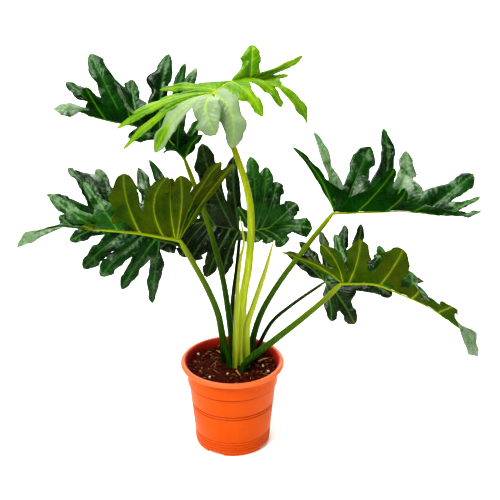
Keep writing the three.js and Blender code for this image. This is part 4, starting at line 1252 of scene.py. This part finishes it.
# %% [markdown]
# ## Stalks
# A stalk is thick and slightly flattened where it clasps the stem, round above, and carries straight on as
# the raised midrib under its blade. That is how it is made here: one tube from the soil to the leaf's tip,
# so that no joint shows at the junction. A mark along it says where the stalk ends and the rib begins.

# %% Stalk tubes
FOOT_DEPTH = 0.006
STALK_SIDES, STALK_STEPS, RIB_RINGS = 16, 44, 26
RIB_TIP = 0.0005  # the rib's half width where it fades out
UNDER = 0.9  # how far the rib's centre hangs below the blade, in its own half widths


def foot_on(foot):
    return Vector((CROWN.x + foot[0], CROWN.y + foot[1], SOIL_TOP - FOOT_DEPTH))


def stalk(name):
    facts, leaf = STALKS[name], LEAVES[name]
    base = foot_on(facts["foot"])
    low, high = facts["wide"]
    rib_low = min(0.0023, 0.55 * high)
    under = -leaf["up"] * UNDER

    def rib_width(along):
        return rib_low + (RIB_TIP - rib_low) * along

    junction = Vector(leaf["junction"]) + under * rib_low
    rise = ((Vector(facts["via"][0]) - base).normalized() + Vector((0, 0, 2))).normalized()
    bare = Line([base, base + 0.022 * rise, *facts["via"], junction]).spaced(STALK_STEPS)
    shares = [i / RIB_RINGS for i in range(1, RIB_RINGS)]
    centres = bare + [leaf["rib"].at(along) + under * rib_width(along) for along in shares]
    split = len(bare) / len(centres)

    def radius(share):
        if share < split:
            along = share / split
            flare = 1 + 0.22 * math.exp(-((along / 0.06) ** 2))
            arrive = ease((along - 0.93) / 0.07)
            return (low + (high - low) * along) * flare * (1 - arrive) + rib_low * 1.25 * arrive
        return rib_width((share - split) / (1 - split))

    def section(angle, share):
        return 1 + 0.035 * math.cos(2 * angle + 1) + 0.02 * math.sin(5 * angle)

    def mark(share):
        return (share / split if share < split else 1 + (share - split) / (1 - split),)

    piece = tube("stalk_" + name, centres, radius, STALK_SIDES, section, ("toward_blade",), mark)
    return finished(piece, "young_stalk" if name == "young" else "stalk", "petiole_" + name)


stalks = {name: stalk(name) for name in STALKS}
print(len(stalks), "stalks,", sum(len(s.data.polygons) for s in stalks.values()), "faces")

# %% [markdown]
# ### Stalk skin
# A stalk is smooth, firm and faintly waxed: dark green low down, yellow-green where it turns into the rib.
# Fine pale streaks run along it, a few millimetres apart round it and about 30 mm long.

# %% Stalk skin
STOPS = {  # share of the way from the foot (0) past the junction (0.5) to the leaf's tip (1)
    "green": [
        (0, "#1C3C02"), (0.12, "#284A02"), (0.3, "#445C02"), (0.42, "#627002"),
        (0.5, "#869202"), (1, "#8C9C08"),
    ],
    # Painted shade: the dark stops darken the stalks of the shaded leaves, and the back-left stalk so that it
    # sinks into the dark leaves around it.
    "dark": [(0, "#142A06"), (0.2, "#1A3208"), (0.44, "#22380A"), (0.5, "#3A5010"), (1, "#42581C")],
    "young": [
        (0, "#D4DC54"), (0.05, "#CCD84C"), (0.14, "#B0C034"), (0.24, "#94A418"), (0.46, "#8E9402"),
        (0.5, "#98A018"), (1, "#8CA838"),
    ],
}


def stalk_skin(kind, streak, rough):
    material, tree, skin = new_material(kind + "_stalk_skin")
    where = add(tree, "TexCoord", out="Object")
    reached = add(tree, "Attribute", out="Fac", attribute_name="toward_blade")
    halved = add(tree, "Math", {0: reached, 1: 0.5}, operation="MULTIPLY")
    bands = add(tree, "ValToRGB", {"Fac": halved})
    first, *between, last = STOPS[kind]
    ramp = bands.node.color_ramp
    for stop, (place, code) in zip(ramp.elements, (first, last)):
        stop.position, stop.color = place, srgb(code)
    for place, code in between:
        ramp.elements.new(place).color = srgb(code)
    drawn_out = add(tree, "Mapping", {"Vector": where, "Scale": (420, 420, 36)})
    lines = add(tree, "TexNoise", {"Vector": drawn_out, "Scale": 1, "Detail": 3})
    share = add(tree, "MapRange", {"Value": lines, "From Min": 0.5, "From Max": 0.75, "To Max": 0.5})
    colour = add(tree, "Mix", {"Factor": share, "A": bands, "B": srgb(streak)}, **RGBA)
    bump = add(tree, "Bump", {"Height": lines, "Strength": 0.25, "Distance": 0.0006})
    feed(skin, {"Base Color": colour, "Normal": bump, "Roughness": rough})
    feed(skin, {"IOR": 1.45, "Specular IOR Level": 0.15, "Subsurface Weight": 0.08})
    feed(skin, {"Subsurface Radius": (0.001, 0.002, 0.0004), "Subsurface Scale": 1})
    return material


stalk_finish = {  # a narrow highlight, green rising to yellow, darker with painted shade on shaded leaves and the back-left stalk, paler when young
    "green": stalk_skin("green", "#54841C", 0.34),
    "shaded": stalk_skin("dark", "#3E6418", 0.38),
    "fresh": stalk_skin("young", "#D8DC50", 0.34),
}
for name, piece in stalks.items():
    age = "shaded" if name == "back_left" else AGE.get(name)
    only(piece, stalk_finish.get(age, stalk_finish["green"]))
print(len(stalk_finish), "stalk finishes")

# %% [markdown]
# ## Sheaths
# Each new leaf comes up inside a pale sheath, a pointed, keeled leaf scale that dries and falls later.
# A grid is rolled partly round its own centre line, so that it cups the stalk, and Solidify thickens it.

# %% Cupped, pointed sheaths
SHEATH_COLUMNS, SHEATH_ROWS = 10, 40
CUP_ANGLE = 2.5  # radians of a ring that the sheath goes round
SHEATH_WALL = 0.0011


def sheath(name, facts):
    base = foot_on(facts["foot"])
    centres = Line([base, base + Vector((0, 0, 0.018)), *facts["via"], facts["end"]]).spaced(SHEATH_ROWS)
    inward = Vector((0, 1, 0))

    def place(column, row):
        share = row / SHEATH_ROWS
        ahead = (centres[min(row + 1, SHEATH_ROWS)] - centres[max(row - 1, 0)]).normalized()
        across = ahead.cross(inward).normalized()
        back = across.cross(ahead).normalized()
        reach = facts["wide"] * (1 - share**2.6) ** 0.9 * (0.92 + 0.08 * math.sin(9 * share)) + 0.0003
        angle = (column / SHEATH_COLUMNS - 0.5) * CUP_ANGLE
        return (centres[row] + reach * (math.sin(angle) * across + (math.cos(angle) - 0.75) * back),)

    piece = laid("sheath_" + name, SHEATH_COLUMNS, SHEATH_ROWS, place)
    in_edit_mode(piece, merged(1e-5), facing_out)
    shaped_by(piece, "SOLIDIFY", thickness=SHEATH_WALL, offset=0)
    shaped_by(piece, "SUBSURF", levels=1, render_levels=1)
    smooth(piece)
    return finished(piece, "sheath", "sheath_" + name)


sheaths = [sheath(name, facts) for name, facts in SHEATHS.items()]
print(len(sheaths), "sheaths")

# %% Sheath tissue
# Pale and faintly glossy, lined along its length, and drier and browner towards the tip.
tissue, tree, skin = new_material("sheath_tissue")
where = add(tree, "TexCoord", out="Object")
upright = add(tree, "SeparateXYZ", {"Vector": where}, out="Z")
height = add(tree, "MapRange", {"Value": upright, "From Min": 0.2, "From Max": 0.42})
fade = add(tree, "Mix", {"Factor": height, "A": srgb("#94A62A"), "B": srgb("#A6A64C")}, **RGBA)
long_way = add(tree, "Mapping", {"Vector": where, "Scale": (500, 500, 22)})
lines = add(tree, "TexNoise", {"Vector": long_way, "Scale": 1, "Detail": 3})
colour = add(tree, "Mix", {"Factor": lines, "A": fade, "B": srgb("#8E9A24")}, **RGBA)
bump = add(tree, "Bump", {"Height": lines, "Strength": 0.4, "Distance": 0.0006})
feed(skin, {"Base Color": colour, "Normal": bump, "Roughness": 0.42, "Specular IOR Level": 0.3})
feed(skin, {"Subsurface Weight": 0.15, "Subsurface Radius": (0.002, 0.002, 0.0006), "Subsurface Scale": 1})
for piece in sheaths:
    only(piece, tissue)
print("sheath finish ready")

# %% [markdown]
# ## Roots, perlite and the stem
# A few aerial roots arch out of the mix and back in. They are round, knuckled and corky. Perlite is
# volcanic glass popped by heat: white, rough and full of pits. The stem itself is buried, and keeps its CAD
# shape under a corky finish.

# %% Roots
def root(name, facts):
    def knuckle(share):
        return facts["wide"] * (1 - 0.55 * share) * (1 + 0.14 * math.sin(23 * share))

    piece = tube("root_" + name, Line(facts["path"]).spaced(16), knuckle, 10)
    return finished(piece, "root", "root_" + name)


roots = [root(name, facts) for name, facts in ROOTS.items()]
print(len(roots), "roots")

# %% Perlite
grains = []
for i, (x, y, size) in enumerate(PERLITE):
    centre = Vector((x, y, SOIL_TOP + 0.7 * size))
    bpy.ops.mesh.primitive_ico_sphere_add(subdivisions=3, radius=size, location=centre)
    grain = bpy.context.object
    bpy.ops.object.transform_apply(location=True)
    for corner in grain.data.vertices:
        out = corner.co - centre
        corner.co = centre + out * (1 + 0.45 * noise.noise(out * 420 + Vector((i, 0, 0))))
    smooth(grain)
    grain.name = grain.data.name = f"perlite_grain_{i + 1}"
    grains.append(finished(grain, "perlite", f"perlite_{i + 1}"))
print(len(grains), "perlite grains")

# %% Corky root, popped perlite and corky stem
for pieces, made in (
    # Straw brown and dull.
    (roots, earth("corky_root", "#7A5A34", "#B89868", "#D8C49C", 0.3, 3, 0.7)),
    # Off-white grains, the brightest spots on the mix.
    (grains, earth("popped_perlite", "#A89C8C", "#D8CCBC", "#F0E8DC", 0.3, 1.5, 0.9)),
    # Brown bark, seen only between the feet of the stalks.
    ([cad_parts["crown"]], earth("corky_stem", "#4A3A20", "#7A6238", "#A08858", 0.3, 4, 0.8)),
):
    for piece in pieces:
        only(piece, made)
print("roots, perlite and stem finished")
